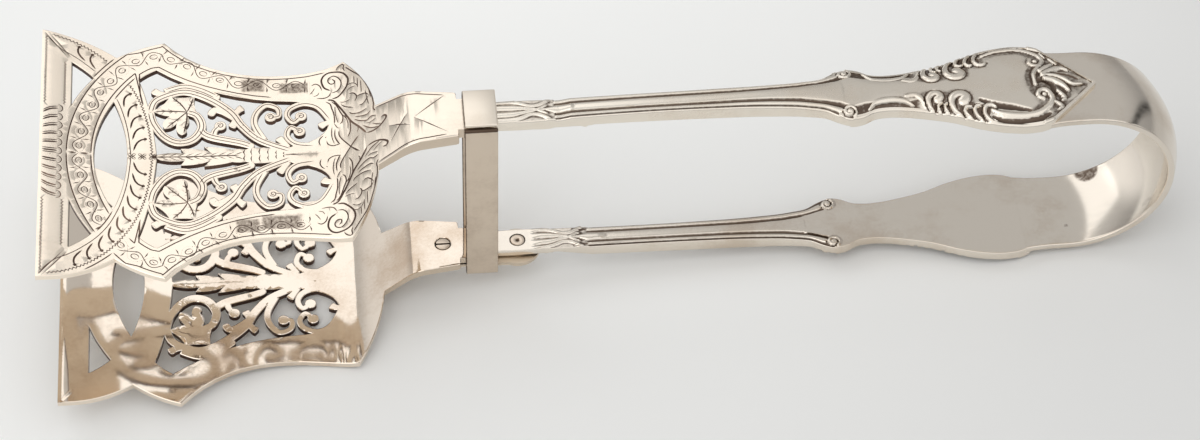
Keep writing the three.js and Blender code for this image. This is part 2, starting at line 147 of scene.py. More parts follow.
# Shader maths on sockets
class Wire:
    def __init__(self, finish, socket):
        self.finish, self.socket = finish, socket

    def math(self, operation, first, second=0):
        return self.finish.add("ShaderNodeMath", {"operation": operation}, {0: first, 1: second})

    def absolute(self):
        return self.math("ABSOLUTE", self)

    def clamped(self):
        return self.finish.add("ShaderNodeClamp", {}, {"Value": self})

    def __add__(self, other):
        return self.math("ADD", self, other)

    def __radd__(self, other):
        return self.math("ADD", other, self)

    def __sub__(self, other):
        return self.math("SUBTRACT", self, other)

    def __rsub__(self, other):
        return self.math("SUBTRACT", other, self)

    def __mul__(self, other):
        return self.math("MULTIPLY", self, other)

    def __rmul__(self, other):
        return self.math("MULTIPLY", other, self)


class Finish:
    def __init__(self, tree):
        self.tree = tree

    def add(self, kind, settings=None, sockets=None, output=0):
        node = self.tree.nodes.new(kind)
        for key, value in (settings or {}).items():
            setattr(node, key, value)
        for key, value in (sockets or {}).items():
            socket = node.inputs[key]
            if isinstance(value, Wire):
                self.tree.links.new(value.socket, socket)
            else:
                socket.default_value = (*value, 1) if socket.type == "RGBA" else value
        return Wire(self, node.outputs[output]) if node.outputs else node

    def axes(self, vector):
        split = self.add("ShaderNodeSeparateXYZ", {}, {0: vector})
        return [Wire(self, output) for output in split.socket.node.outputs]

    def noise(self, scale, detail=3, roughness=0.5, stretch=(1, 1, 1)):
        here = self.add("ShaderNodeTexCoord", output=3)
        spread = self.add("ShaderNodeMapping", {}, {"Vector": here, "Scale": stretch})
        sockets = {"Vector": spread, "Scale": scale, "Detail": detail, "Roughness": roughness}
        return self.add("ShaderNodeTexNoise", {}, sockets)

    def blendColours(self, amount, first, second):
        sockets = {0: amount, 6: first, 7: second}
        return self.add("ShaderNodeMix", {"data_type": "RGBA"}, sockets, output=2)

    def band(self, value, low, high):
        settings = {"interpolation_type": "SMOOTHSTEP"}
        sockets = {"Value": value, "From Min": low, "From Max": high, "To Min": 0, "To Max": 1}
        return self.add("ShaderNodeMapRange", settings, sockets)

    def bump(self, height):
        return self.add("ShaderNodeBump", {}, {"Strength": 1.0, "Distance": mm, "Height": height})

    def surface(self, sockets):
        shader = self.add("ShaderNodeBsdfPrincipled", {}, sockets)
        self.add("ShaderNodeOutputMaterial", {}, {"Surface": shader})


def newFinish(name):
    material = bpy.data.materials.new(name)
    material.use_nodes = True
    material.node_tree.nodes.clear()
    return material, Finish(material.node_tree)


# Old silver: clean metal, a brown bloom in hollows and patches, soft scratches along the piece; the hollow
# mask brings tarnish and, on some pieces, painted shade
silver = {
    "metal": (0.90, 0.84, 0.75),
    "bloom": (0.72, 0.60, 0.47),
    "tarnishAndPaintedShade": (0.10, 0.065, 0.045),
    "roughness": 0.24,
    "roughnessSpread": 0.12,
    "bloomRoughness": 0.05,
    "hollowRoughness": 0.15,
    "grainScale": 1400,
    "patchScale": 55,
    "brushScale": 900,
    "brushStretch": (0.12, 1, 1),
    "brushDepth": 0.0015,
    "grainDepth": 0.0008,
    "waveDepth": 0.0,
    "hollowStart": 0.15,
    "hollowEnd": 0.8,
    "hollowAmount": 0.95,
    "hollowGrain": 1.4,
    "bloomStart": 0.5,
    "bloomEnd": 0.75,
    "bloomAmount": 0.4,
    "bloomGrain": 0.2,
}
def oldSilver(name, changes):
    look = {**silver, **changes}
    material, f = newFinish(name)
    hollow = f.add("ShaderNodeAttribute", {"attribute_name": "hollow"}, output=2)
    fine = f.noise(look["grainScale"], 4, 0.6)
    broad = f.noise(look["patchScale"], 3, 0.55)
    strokes = f.noise(look["brushScale"], 2, 0.5, look["brushStretch"])
    grain = fine - 0.5
    deep = f.band(hollow + grain * hollow * look["hollowGrain"], look["hollowStart"], look["hollowEnd"])
    bloom = f.band(broad + grain * look["bloomGrain"], look["bloomStart"], look["bloomEnd"])
    colour = f.blendColours(bloom * look["bloomAmount"], look["metal"], look["bloom"])
    # Tarnish in hollows, and painted shade where a piece's hollow mask carries it
    colour = f.blendColours(deep * look["hollowAmount"], colour, look["tarnishAndPaintedShade"])
    rough = look["roughness"] + (strokes - 0.5) * look["roughnessSpread"]
    rough = rough + bloom * look["bloomRoughness"] + deep * look["hollowRoughness"]
    lift = strokes * look["brushDepth"] + fine * look["grainDepth"] + broad * look["waveDepth"]
    f.surface({"Base Color": colour, "Metallic": 1.0, "Roughness": rough.clamped(), "Normal": f.bump(lift)})
    return material


# Dark oxide in engraved lines and on sawn edges
oxide = {
    "metallic": 0.3,
    "roughness": 0.5,
    "grain": 0.4,
    "wornStart": 0.5,
}
def darkOxide(name, changes):
    look = {**oxide, **changes}
    material, f = newFinish(name)
    fine = f.noise(look["grainScale"], 4, 0.6)
    broad = f.noise(look["patchScale"], 2, 0.5)
    worn = f.band(broad + (fine - 0.5) * look["grain"], look["wornStart"], look["wornEnd"])
    colour = f.blendColours(worn, look["dark"], look["pale"])
    bump = f.bump(fine * look["grainDepth"])
    metallic, roughness = look["metallic"], look["roughness"]
    f.surface({"Base Color": colour, "Metallic": metallic, "Roughness": roughness, "Normal": bump})
    return material


silverLooks = {
    "bladePolish": dict(
        metal=(0.95, 0.84, 0.71), roughness=0.22, hollowStart=0.1, hollowEnd=0.75, bloomAmount=0.3),
    "lowerBladePolish": dict(
        metal=(0.86, 0.76, 0.65), bloom=(0.56, 0.42, 0.30), roughness=0.05, roughnessSpread=0.04,
        bloomAmount=0.75, bloomStart=0.44, brushDepth=0.0002, grainDepth=0.0001, waveDepth=0.03),
    "bladeBack": dict(metal=(0.66, 0.56, 0.45), roughness=0.2, bloomAmount=0.6),
    "armSilver": dict(metal=(0.88, 0.81, 0.71)),
    "bowSilver": dict(
        metal=(0.82, 0.75, 0.66), bloom=(0.58, 0.47, 0.36), roughness=0.17, bloomStart=0.44,
        bloomAmount=0.6, patchScale=60),
    "collarSilver": dict(
        metal=(0.70, 0.60, 0.49), bloom=(0.46, 0.36, 0.28), roughness=0.36, bloomStart=0.42,
        bloomAmount=0.6, patchScale=90),
    "capSilver": dict(metal=(0.94, 0.85, 0.73), roughness=0.34),
    "saddleSilver": dict(metal=(0.66, 0.57, 0.46), roughness=0.36),
    "fastenerSilver": dict(metal=(0.80, 0.68, 0.56), roughness=0.3),
}
oxideLooks = {
    "cutOxide": dict(
        dark=(0.075, 0.04, 0.025), pale=(0.26, 0.17, 0.12), grainScale=1600, patchScale=70,
        grainDepth=0.002, wornEnd=0.8),
    "sawnOxide": dict(
        dark=(0.06, 0.027, 0.016), pale=(0.15, 0.085, 0.055), grainScale=1200, patchScale=90,
        grainDepth=0.003, wornEnd=0.85),
}
finishes = {name: oldSilver(name, changes) for name, changes in silverLooks.items()}
finishes.update({name: darkOxide(name, changes) for name, changes in oxideLooks.items()})
print("finishes made:", len(finishes))


# A finished mesh from points in the arms' frame
def makePiece(name, points, faces, materials, faceMaterials=None, hollow=None, sharp=35):
    mesh = bpy.data.meshes.new(name)
    mesh.from_pydata(place(points).tolist(), [], faces)
    for material in materials:
        mesh.materials.append(finishes[material])
    if faceMaterials is not None:
        mesh.polygons.foreach_set("material_index", np.asarray(faceMaterials, np.int32))
    if hollow is not None:
        layer = mesh.attributes.new("hollow", "FLOAT", "POINT")
        layer.data.foreach_set("value", np.asarray(hollow, np.float32))
    mesh.validate()
    mesh.update()
    mesh.shade_smooth()
    mesh.set_sharp_from_angle(angle=math.radians(sharp))
    piece = bpy.data.objects.new(name, mesh)
    bpy.context.scene.collection.objects.link(piece)
    return piece


def dress(piece, body, node):
    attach(piece, body)
    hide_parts(node)


# Blades: the pierced sheet is drawn in plan and cut into triangles along every edge and engraved line
blade = {
    "reach": 87.2,
    "halfWidth": 34.5,
    "thickness": 1.3,
    "crankDrop": 9.9,
    "shankHalfWidth": 6.2,
    "shankFrom": 0.2,
    "shoulder": ((-0.5, 0), (-0.12, -0.14), (0, -0.5)),
    "tongueHalfWidth": 4.35,
    "upperShankThickness": 2.8,
    "lowerShankThickness": 1.8,
    "upperLap": (2.0, 7.4),
    "lapStep": 0.04,
    "lowerTongueEnd": 4.7,
    "bevel": 0.16,
    "bevelDrop": 0.6,
    "rimStep": 0.08,
    "onLine": 0.02,
    "grid": 1.6,
    "bendLines": (-31.0, -4.0, 0.6),
    "stemWidth": 1.95,
    "tendrilWidth": 1.4,
    "eyeRadius": 1.4,
    "screwX": -3.6,
    "screwHole": 1.76,
    "screwSides": 36,
    "shankBorder": 0.7,
    "cutShare": 0.98,
    "stainStep": 0.35,
    "stainDark": 0.5,
    "stainFade": (3.4, 3),
}
# Dark patches on the border: centre and half extents
bladeStains = [
    (-42.8, 20.0, 2.6, 1.9), (-34.0, 19.0, 3.4, 1.6), (-44.6, -19.5, 2.6, 1.9), (-37.6, -18.7, 4.4, 2.0),
]
bladeScale = (-blade["reach"], blade["halfWidth"])
outlineShares = [
    (1, 1), (0.9, 0.97, 0.822, 0.817), (0.765, 0.92, 0.706, 0.959),
    (0.56, 0.52, 0.266, 0.722), (0.205, 0.5, 0.194, 0.243),
]
cornerOpeningShares = [(0.928, 0.748), (0.9, 0.7, 0.876, 0.632), (0.914, 0.4925, 0.928, 0.383)]
lensShares = [(0.827, 0.439), (0.919, 0, 0.827, -0.439), (0.763, 0, 0.827, 0.439)]
fieldShares = [
    (0.724, 0), (0.736, 0.405, 0.768, 0.638), (0.75, 0.69, 0.725, 0.725), (0.585, 0.46, 0.4, 0.44),
    (0.315, 0.43, 0.308, 0.26), (0.31, 0.11, 0.401, 0.067), (0.42, 0.04, 0.43, 0),
]
stemShares = [
    [(0.74, 0.37), (0.724, 0.475), (0.661, 0.542), (0.602, 0.484), (0.547, 0.363), (0.519, 0.242),
     (0.477, 0.125), (0.4, 0.03)],
    [(0.74, 0.37), (0.732, 0.275), (0.707, 0.17), (0.674, 0.12), (0.638, 0.145), (0.617, 0.24),
     (0.627, 0.335), (0.652, 0.372)],
    [(0.705, 0.545), (0.66, 0.585), (0.62, 0.555), (0.58, 0.49)],
    [(0.618, 0.22), (0.61, 0.185), (0.585, 0.151), (0.526, 0.108), (0.5, 0.08)],
]
scrollShares = [
    [(0.467, 0.125), (0.489, 0.25), (0.485, 0.345), (0.461, 0.415), (0.433, 0.388), (0.43, 0.325),
     (0.45, 0.315)],
    [(0.3, 0.24), (0.331, 0.378), (0.366, 0.42), (0.4, 0.385), (0.41, 0.325), (0.395, 0.268),
     (0.376, 0.315)],
    [(0.34, 0.065), (0.39, 0.085), (0.412, 0.155), (0.402, 0.225), (0.381, 0.19)],
    [(0.59, 0.16), (0.585, 0.21), (0.572, 0.25)],
]
budShares = [
    [(0.54, 0.31), (0.567, 0.365), (0.585, 0.38), (0.597, 0.335)],
    [(0.535, 0.32), (0.538, 0.27), (0.546, 0.235)],
    [(0.3, 0.25), (0.32, 0.235), (0.332, 0.215)],
    [(0.41, 0.06), (0.425, 0.115), (0.434, 0.145)],
    [(0.54, 0.33), (0.526, 0.38), (0.516, 0.4)],
    [(0.7, 0.52), (0.72, 0.53), (0.735, 0.555)],
]
leafShares = [
    (0.647, 0.384), (0.645, 0.37, 0.629, 0.375), (0.637, 0.43, 0.632, 0.505), (0.66, 0.48, 0.694, 0.505),
    (0.7, 0.44, 0.735, 0.38), (0.715, 0.34, 0.694, 0.338), (0.72, 0.28, 0.706, 0.232),
    (0.685, 0.235, 0.677, 0.28), (0.683, 0.2, 0.665, 0.18), (0.645, 0.2, 0.657, 0.24),
    (0.64, 0.29, 0.651, 0.344),
]
featherShares = [
    (0.745, 0), (0.7, 0.05, 0.66, 0.03), (0.664, 0.05, 0.668, 0.068), (0.62, 0.07, 0.597, 0.034),
    (0.604, 0.055, 0.612, 0.08), (0.565, 0.07, 0.545, 0.05), (0.53, 0.06, 0.51, 0.05),
]
calyxShares = [(0.53, 0), (0.525, 0.055, 0.49, 0.064), (0.45, 0.07, 0.385, 0.02)]
# Side profile: place, drop, and share of the shank's extra thickness
profileShares = [
    (-0.5, 0, 1), (-0.1, 0, 1), (0.07, 0, 1), (0.1, 0.01, 1), (0.127, 0.09, 0.95), (0.16, 0.29, 0.75),
    (0.206, 0.575, 0.45), (0.252, 0.815, 0.25), (0.298, 0.955, 0.1), (0.344, 1, 0), (0.413, 0.995, 0),
    (0.55, 0.937, 0), (0.711, 0.869, 0), (0.79, 0.785, 0), (0.86, 0.68, 0), (0.93, 0.55, 0),
    (1, 0.394, 0), (1.1, 0.3, 0),
]


def bladePoint(share, side=1):
    return (share[0] * bladeScale[0], share[1] * bladeScale[1] * side)


def quads(shares, side=1, steps=8):
    # Curves in shares of the blade's reach and half width: a start, then control points and ends
    points = [bladePoint(shares[0], side)]
    for share in shares[1:]:
        corners = (points[-1], bladePoint(share[:2], side), bladePoint(share[2:], side))
        a, b, c = (np.array(corner) for corner in corners)
        for k in range(1, steps + 1):
            t = k / steps
            points.append(tuple(a * (1 - t) ** 2 + b * 2 * t * (1 - t) + c * t * t))
    return points


def both(shares):
    # A closed outline from one half and its mirror image
    return quads(shares) + quads(shares, -1)[::-1]


class Plan:
    def __init__(self):
        self.points, self.edges, self.areas, self.kinds = [], [], [], []

    def area(self, outline, kind):
        close = 1e-4
        p = np.asarray(outline, float)
        p = p[np.linalg.norm(p - np.roll(p, 1, axis=0), axis=1) > close]
        turn = np.sum(p[:, 0] * np.roll(p[:, 1], -1) - np.roll(p[:, 0], -1) * p[:, 1])
        if abs(turn) < close:
            return
        if turn < 0:
            p = p[::-1]
        start = len(self.points)
        self.points += [Vector(q) for q in p]
        self.areas.append(list(range(start, start + len(p))))
        self.kinds.append(kind)

    def line(self, points):
        start = len(self.points)
        self.points += [Vector(q) for q in points]
        self.edges += [(start + i, start + i + 1) for i in range(len(points) - 1)]

    def edge(self, outline, bevel):
        # A line on each side of a closed outline
        closed = outline + [outline[0]]
        self.line(parallel(closed, bevel))
        self.line(parallel(closed, -bevel))

    def dots(self, points):
        self.points += [Vector(q) for q in points]

    def bar(self, points, widths, kind):
        left, right = parallel(points, widths), parallel(points, -widths)
        for i in range(len(points) - 1):
            self.area([left[i], left[i + 1], right[i + 1]], kind)
            self.area([left[i], right[i + 1], right[i]], kind)

    def disc(self, centre, radius, kind, sides=14):
        self.area(arc(centre, radius, 0, 2 * math.pi * (sides - 1) / sides, sides - 1), kind)

    def cut(self):
        # Points and triangles of the sheet that stay after piercing
        sheet = delaunay_2d_cdt(self.points, self.edges, self.areas, 1, 1e-5, True)
        verts, _, faces, _, _, owners = sheet
        kept = []
        for face, owner in zip(faces, owners):
            kinds = {self.kinds[i] for i in owner}
            solid = "sheet" in kinds and "opening" not in kinds
            if solid and ("window" not in kinds or "bar" in kinds):
                kept.append(face)
        used, triangles = np.unique(np.array(kept), return_inverse=True)
        return np.array([tuple(verts[i]) for i in used]), triangles.reshape(-1, 3)


def bladeOutline(tongueEnd):
    shank, tongue = blade["shankHalfWidth"], blade["tongueHalfWidth"]
    far = quads(outlineShares, 1, 12) + [(x, shank + inset) for x, inset in blade["shoulder"]]
    far += [(0, tongue), (tongueEnd, tongue)]
    return far + [(x, -y) for x, y in far[::-1]]


# Openwork bars of one half: a line, its half width along it, and the eye at its end
def openworkBars(side):
    bars = []
    stem, tendril, eye = blade["stemWidth"] / 2, blade["tendrilWidth"] / 2, blade["eyeRadius"]
    for family, steps in ((stemShares, 7), (scrollShares, 8), (budShares, 10)):
        for shares in family:
            line = spline([bladePoint(s, side) for s in shares], steps)
            t = np.linspace(0, 1, len(line))
            if family is stemShares:
                bars.append((line, stem * (0.86 + 0.2 * np.sin(math.pi * t)), 0.85))
            elif family is scrollShares:
                bars.append((line, tendril * (1.15 - 0.35 * t), eye * 0.92))
            else:
                bars.append((line, tendril * (0.9 + 0.9 * t ** 2) * np.sqrt(1.02 - t ** 6), 0))
    return bars


def tapering(line, t):
    # A graver's cut narrows over its last stretch, or its last quarter when it is short
    length = np.linalg.norm(np.diff(np.asarray(line, float), axis=0), axis=1).sum()
    toEnd = np.minimum(t, 1 - t)
    narrow = np.maximum(4 * toEnd, toEnd * length / engraving["taperLength"])
    return np.minimum(1, narrow + engraving["bluntShare"])


def drawBlade(tongueEnd, upper, strokes):
    plan, bevel = Plan(), blade["bevel"]
    outline = bladeOutline(tongueEnd)
    plan.area(outline, "sheet")
    plan.line(parallel(outline, -bevel)[1:-1])
    plan.line(parallel(outline, bevel)[1:-1])
    openings = [quads(cornerOpeningShares), quads(cornerOpeningShares, -1), quads(lensShares, 1, 16)]
    if not upper:
        sides = blade["screwSides"]
        turn = 2 * math.pi * (sides - 1) / sides
        openings.append(arc((blade["screwX"], 0), blade["screwHole"], 0, turn, sides - 1))
    for closed, kind in [(opening, "opening") for opening in openings] + [(both(fieldShares), "window")]:
        plan.area(closed, kind)
        plan.edge(closed, bevel)
    for shares in (featherShares, calyxShares):
        plan.area(both(shares), "bar")
    for side in (1, -1):
        plan.area(quads(leafShares, side, 5), "bar")
        for line, widths, eye in openworkBars(side):
            plan.bar(line, widths, "bar")
            plan.line(parallel(line, widths - bevel))
            plan.line(parallel(line, bevel - widths))
            if eye:
                plan.disc(line[-1], eye, "bar")
                plan.disc(line[-1], eye - bevel, "bar")
    for line, half, _ in strokes:
        taper = tapering(line, np.linspace(0, 1, len(line))) * half
        plan.line(line)
        plan.line(parallel(line, taper))
        plan.line(parallel(line, -taper))
    step, reach, wide = blade["grid"], blade["reach"], blade["halfWidth"]
    columns = np.arange(-reach + step / 2, tongueEnd, step)
    rows = np.arange(-wide + step / 2, wide, step)
    plan.dots([(x, y + (i % 2) * step / 2) for i, x in enumerate(columns) for y in rows])
    for x in np.arange(*blade["bendLines"]):
        plan.line([(x, -wide), (x, wide)])
    if upper:
        for x, y, long, broad in bladeStains:
            across = np.arange(y - broad, y + broad, blade["stainStep"])
            plan.dots([(u, v) for u in np.arange(x - long, x + long, blade["stainStep"]) for v in across])
        lap, past = blade["upperLap"][0], blade["tongueHalfWidth"] + 1
        for x in (lap, lap + blade["lapStep"]):
            plan.line([(x, -past), (x, past)])
    return plan.cut()


def rimOf(triangles):
    # Edges that belong to one triangle only
    pairs = np.vstack([triangles[:, [0, 1]], triangles[:, [1, 2]], triangles[:, [2, 0]]])
    _, index, counts = np.unique(np.sort(pairs, axis=1), axis=0, return_index=True, return_counts=True)
    return pairs[index[counts == 1]]


def distanceToRim(points, rim):
    samples = []
    for p, q in points[rim]:
        count = max(2, int(np.linalg.norm(q - p) / blade["rimStep"]))
        samples += [(*(p + (q - p) * i / count), 0) for i in range(count)]
    tree = kdtree.KDTree(len(samples))
    for i, sample in enumerate(samples):
        tree.insert(sample, i)
    tree.balance()
    return np.array([tree.find((x, y, 0))[2] for x, y in points])


def acrossStroke(places, line, half):
    # The places near a stroke, how far out they lie in its half width, and its taper there
    p = np.asarray(line)
    near = np.where(np.all((places >= p.min(0) - half) & (places <= p.max(0) + half), axis=1))[0]
    d, t = distanceTo(places[near, 0], places[near, 1], p)
    taper = tapering(line, t)
    return near, d / (half * taper), taper


def engraved(points, triangles, strokes):
    # How deep the graver cuts at each point, and the triangles inside a cut
    centres = points[triangles].mean(axis=1)
    depth, cut = np.zeros(len(points)), np.zeros(len(triangles), bool)
    for line, half, deep in strokes:
        near, share, taper = acrossStroke(points, line, half)
        depth[near] = np.maximum(depth[near], deep * taper * np.clip(1 - share, 0, 1))
        near, share, _ = acrossStroke(centres, line, half)
        cut[near] |= share < blade["cutShare"]
    return depth, cut


def buildBlade(name, face, shankThickness, tongueEnd, upper, strokes, polish):
    points, triangles = drawBlade(tongueEnd, upper, strokes)
    rim = rimOf(triangles)
    bevel = blade["bevel"]
    soft = np.clip(1 - distanceToRim(points, rim) / bevel, 0, 1) * bevel * blade["bevelDrop"]
    depth, cut = engraved(points, triangles, strokes)
    at = -points[:, 0] / blade["reach"]
    level = face - blade["crankDrop"] * eased(profileShares, 1, at)
    extra = np.clip(eased(profileShares, 2, at), 0, 1)
    thickness = blade["thickness"] + (shankThickness - blade["thickness"]) * extra
    top, bottom = level - soft, level - thickness + soft
    if upper:
        lapped = points[:, 0] > blade["upperLap"][0] + blade["lapStep"] / 2
        top -= np.where(lapped, shankThickness / 2, 0) + depth
    else:
        bottom += depth
    count = len(points)
    allPoints = np.vstack([np.column_stack([points, top]), np.column_stack([points, bottom])])
    faces = triangles.tolist() + (triangles[:, ::-1] + count).tolist()
    faces += [[b, a, a + count, b + count] for a, b in rim.tolist()]

    polished, oxidised, sawn, back = range(4)
    outline = bladeOutline(tongueEnd)
    middle = points[rim].mean(axis=1)
    toOutline, _ = distanceTo(middle[:, 0], middle[:, 1], outline + outline[:1])
    outerWall = np.where(at[rim].mean(axis=1) < blade["shankFrom"], back, polished)
    slots = np.concatenate([
        np.where(cut & upper, oxidised, polished),
        np.where(cut & (not upper), oxidised, back),
        np.where(toOutline > blade["onLine"], sawn, outerWall),
    ])
    stain = np.zeros(count * 2)
    if upper:
        start, fade = blade["stainFade"]
        for x, y, long, broad in bladeStains:
            away = np.maximum(np.abs(points[:, 0] - x) / long, np.abs(points[:, 1] - y) / broad)
            dark = blade["stainDark"] * np.clip(start - fade * away, 0, 1)
            stain[:count] = np.maximum(stain[:count], dark)
    materials = (polish, "cutOxide", "sawnOxide", "bladeBack")
    piece = makePiece(name, allPoints, faces, materials, slots, stain, sharp=24)
    print(name, len(piece.data.polygons), "faces")
    return piece


# Engraving: every stroke is a line, its half width and its depth
engraving = {
    "fine": (0.1, 0.05),
    "line": (0.14, 0.07),
    "bold": (0.21, 0.12),
    "dot": (0.36, 0.12),
    "ringCentre": (-40.5, 0.0),
    "ringRadii": (41.2, 36.2),
    "ringEdges": (42.1, 35.3),
    "chainRadius": 38.7,
    "chainPitch": 4.0,
    "chainSwing": 1.35,
    "borderInset": 1.0,
    "commaPitch": 3.3,
    "gadroonPitch": 2.25,
    "gadroonCount": 5,
    "tipLine": -86.3,
    "bandLine": -82.3,
    "plainStart": 12.9,
    "taperLength": 0.8,
    "bluntShare": 0.15,
}
crescentMiddle = [
    (-85.8, 33.0), (-82.6, 30.9), (-79.3, 29.0), (-76.6, 26.9), (-74.0, 24.3), (-71.7, 21.1),
    (-70.0, 17.9), (-68.3, 13.3), (-67.0, 7.2), (-66.3, 0.0),
]
crescentHalf = [0.4, 1.7, 1.9, 2.0, 2.0, 2.0, 2.1, 2.2, 2.2, 2.2]
borderMiddle = [
    (-66.2, 28.0), (-62.4, 29.4), (-59.3, 27.7), (-55.8, 25.4), (-53.0, 23.6), (-49.8, 21.8), (-46.7, 20.8),
    (-43.9, 20.4), (-41.0, 20.1), (-38.0, 19.9), (-34.9, 19.7), (-31.6, 19.5),
]
heelLines = {
    "bold": [
        [(-27.0, 14.8), (-25.8, 14.3), (-24.8, 12.6), (-23.4, 9.7), (-22.1, 6.8), (-20.6, 4.6), (-19.1, 1.9)],
        [(-19.1, 1.9), (-17.9, 1.6), (-16.7, 1.8), (-15.6, 2.5), (-14.8, 3.5), (-15.2, 4.3), (-15.9, 4.1)],
        [(-26.0, 14.9), (-24.7, 15.1), (-23.4, 16.5), (-22.6, 17.9), (-22.4, 19.5), (-23.0, 21.0),
         (-23.8, 21.9), (-24.9, 22.4), (-26.4, 22.6), (-27.5, 22.0), (-28.1, 20.7), (-27.9, 19.2),
         (-27.4, 18.2), (-26.3, 17.4)],
    ],
    "line": [
        [(-26.1, 16.6), (-24.9, 16.8), (-24.1, 17.8), (-23.9, 19.2), (-24.5, 20.6), (-25.5, 21.4),
         (-26.5, 21.0), (-26.7, 20.0), (-26.1, 19.2), (-25.4, 19.3), (-25.3, 19.9), (-25.9, 20.7)],
        [(-22.4, 14.9), (-21.6, 14.9), (-20.9, 14.0), (-20.8, 13.1), (-21.2, 12.3)],
        [(-20.8, 13.3), (-20.3, 13.5), (-19.6, 13.4), (-18.8, 13.1), (-18.2, 12.2)],
        [(-18.2, 12.2), (-18.9, 11.1), (-19.6, 10.5), (-20.3, 10.7)],
        [(-22.5, 9.8), (-22.0, 9.1), (-21.1, 8.7), (-20.1, 8.5), (-18.7, 8.8)],
        [(-21.3, 7.9), (-20.3, 7.4), (-18.8, 7.0), (-18.0, 7.6)],
        [(-21.5, 7.2), (-20.3, 6.1), (-18.9, 5.4), (-18.0, 5.9), (-16.9, 5.5)],
        [(-19.8, 4.5), (-18.4, 2.9), (-17.3, 2.3), (-16.6, 2.1)],
        [(-24.2, 12.6), (-23.3, 11.7), (-22.5, 11.2), (-21.6, 10.7)],
        [(-24.9, 22.9), (-24.4, 23.7), (-23.6, 24.2), (-23.2, 23.8), (-23.3, 22.9), (-23.0, 22.0)],
        [(-22.9, 23.2), (-21.6, 21.4), (-19.8, 18.8), (-18.7, 16.0), (-17.8, 12.8), (-17.4, 10.5),
         (-17.3, 9.0), (-17.4, 7.8), (-17.0, 6.9)],
        [(-26.2, 14.1), (-25.2, 12.8), (-24.4, 10.5), (-23.9, 9.1), (-24.1, 7.7), (-24.6, 7.2)],
        [(-27.4, 14.3), (-26.5, 13.5), (-26.2, 12.2), (-25.8, 10.5), (-25.7, 8.7), (-25.8, 7.7)],
        [(-23.6, 9.3), (-22.6, 7.8), (-22.4, 5.9), (-22.5, 4.3), (-23.1, 2.9)],
        [(-25.7, 6.0), (-25.8, 4.0), (-25.3, 2.4), (-24.8, 1.5)],
        [(-27.6, 3.1), (-27.3, 2.1), (-26.4, 1.5), (-25.4, 1.5), (-24.8, 1.6)],
        [(-24.9, 5.3), (-24.9, 4.1), (-24.4, 2.9), (-23.6, 1.6), (-22.5, -0.1), (-21.1, -2.1)],
        [(-29.3, 15.6), (-27.8, 15.4), (-26.7, 15.8), (-26.2, 16.8)],
        [(-30.3, 19.4), (-29.4, 19.8), (-28.5, 19.1), (-28.1, 17.7)],
        [(-28.2, 4.7), (-28.9, 4.0), (-29.2, 3.0), (-28.9, 1.9)],
    ],
    "fine": [
        [(-24.4, 13.5), (-23.6, 13.1), (-22.8, 13.2), (-22.3, 13.4)],
        [(-19.1, 4.7), (-18.4, 4.4), (-17.4, 4.6), (-17.0, 4.8)],
        [(-17.9, 3.9), (-16.9, 3.0), (-15.9, 2.5)],
        [(-22.9, 15.9), (-22.3, 16.5), (-21.6, 16.7), (-20.8, 16.5)],
        [(-22.7, 17.5), (-21.9, 17.9), (-20.9, 17.3), (-20.5, 16.3)],
        [(-20.4, 18.8), (-20.4, 17.3), (-20.4, 15.8)],
        [(-19.7, 17.6), (-19.7, 15.3), (-19.7, 14.0)],
        [(-21.1, 19.6), (-21.1, 18.4), (-21.1, 17.6)],
        [(-25.5, 12.5), (-25.5, 10.8), (-25.3, 9.1), (-25.0, 7.6)],
        [(-24.0, 9.7), (-23.2, 8.2), (-22.9, 6.7), (-23.0, 5.3)],
        [(-26.3, 6.8), (-26.5, 5.2), (-26.4, 3.7), (-26.0, 2.0)],
        [(-25.8, 7.7), (-25.3, 6.5), (-24.8, 6.0)],
        [(-20.7, 2.3), (-21.7, 1.0), (-22.8, -0.2)],
        [(-20.9, 4.8), (-20.8, 4.0), (-21.1, 3.4)],
        [(-30.7, 16.9), (-30.1, 17.7), (-29.6, 18.6)],
        [(-30.0, 16.2), (-29.1, 16.5), (-28.7, 17.2)],
        [(-27.9, 4.0), (-27.6, 4.3)],
        [(-18.9, 14.2), (-18.6, 11.6), (-18.3, 9.6)],
        [(-18.2, 15.0), (-18.0, 12.9), (-17.8, 11.2)],
    ],
}
shankLines = [
    [(-2.6, 5.4), (-5.8, 2.7), (-9.1, -0.1)],
    [(-9.1, -0.1), (-5.8, -2.4), (-2.3, -4.8)],
    [(-10.4, 1.6), (-12.5, -1.4), (-14.2, -3.9)],
    [(-14.3, 0.6), (-12.2, -0.6), (-10.0, -1.9)],
]


def stroked(lines, kind):
    half, depth = engraving[kind]
    return [(line, half, depth) for line in lines]


def oval(centre, ahead, length, width, sides=12):
    ax, ay = ahead
    out = []
    for i in range(sides + 1):
        angle = 2 * math.pi * i / sides
        u, v = length / 2 * math.cos(angle), width / 2 * math.sin(angle)
        out.append((centre[0] + ax * u - ay * v, centre[1] + ay * u + ax * v))
    return out


def local(origin, ahead, moves):
    # Points given along and to the right of a direction
    (x, y), (a, b) = origin, ahead
    return [(x + a * u + b * v, y + b * u - a * v) for u, v in moves]


def wriggle(path, pitch=0.42, swing=0.22):
    places = walk(path, pitch)
    return [local(at, ahead, [(0, swing * (-1) ** i)])[0] for i, (at, ahead) in enumerate(places)]


def dashed(path, pitch=0.42):
    return [local(at, ahead, [(-0.09, 0), (0.09, 0)]) for at, ahead in walk(path, pitch)]


def fromCentre(point):
    x, y = engraving["ringCentre"]
    return math.hypot(point[0] - x, point[1] - y)


def split(line, keep):
    # The stretches of a line whose points pass a test
    runs, run = [], []
    for point in line:
        if keep(point):
            run.append(point)
        else:
            runs.append(run)
            run = []
    runs.append(run)
    return [run for run in runs if len(run) > 1]


def dense(path, spacing=0.3):
    return [at for at, _ in walk(path, spacing)]


def underRing(point):
    outer, inner = engraving["ringEdges"]
    return inner < fromCentre(point) < outer and point[0] < -60


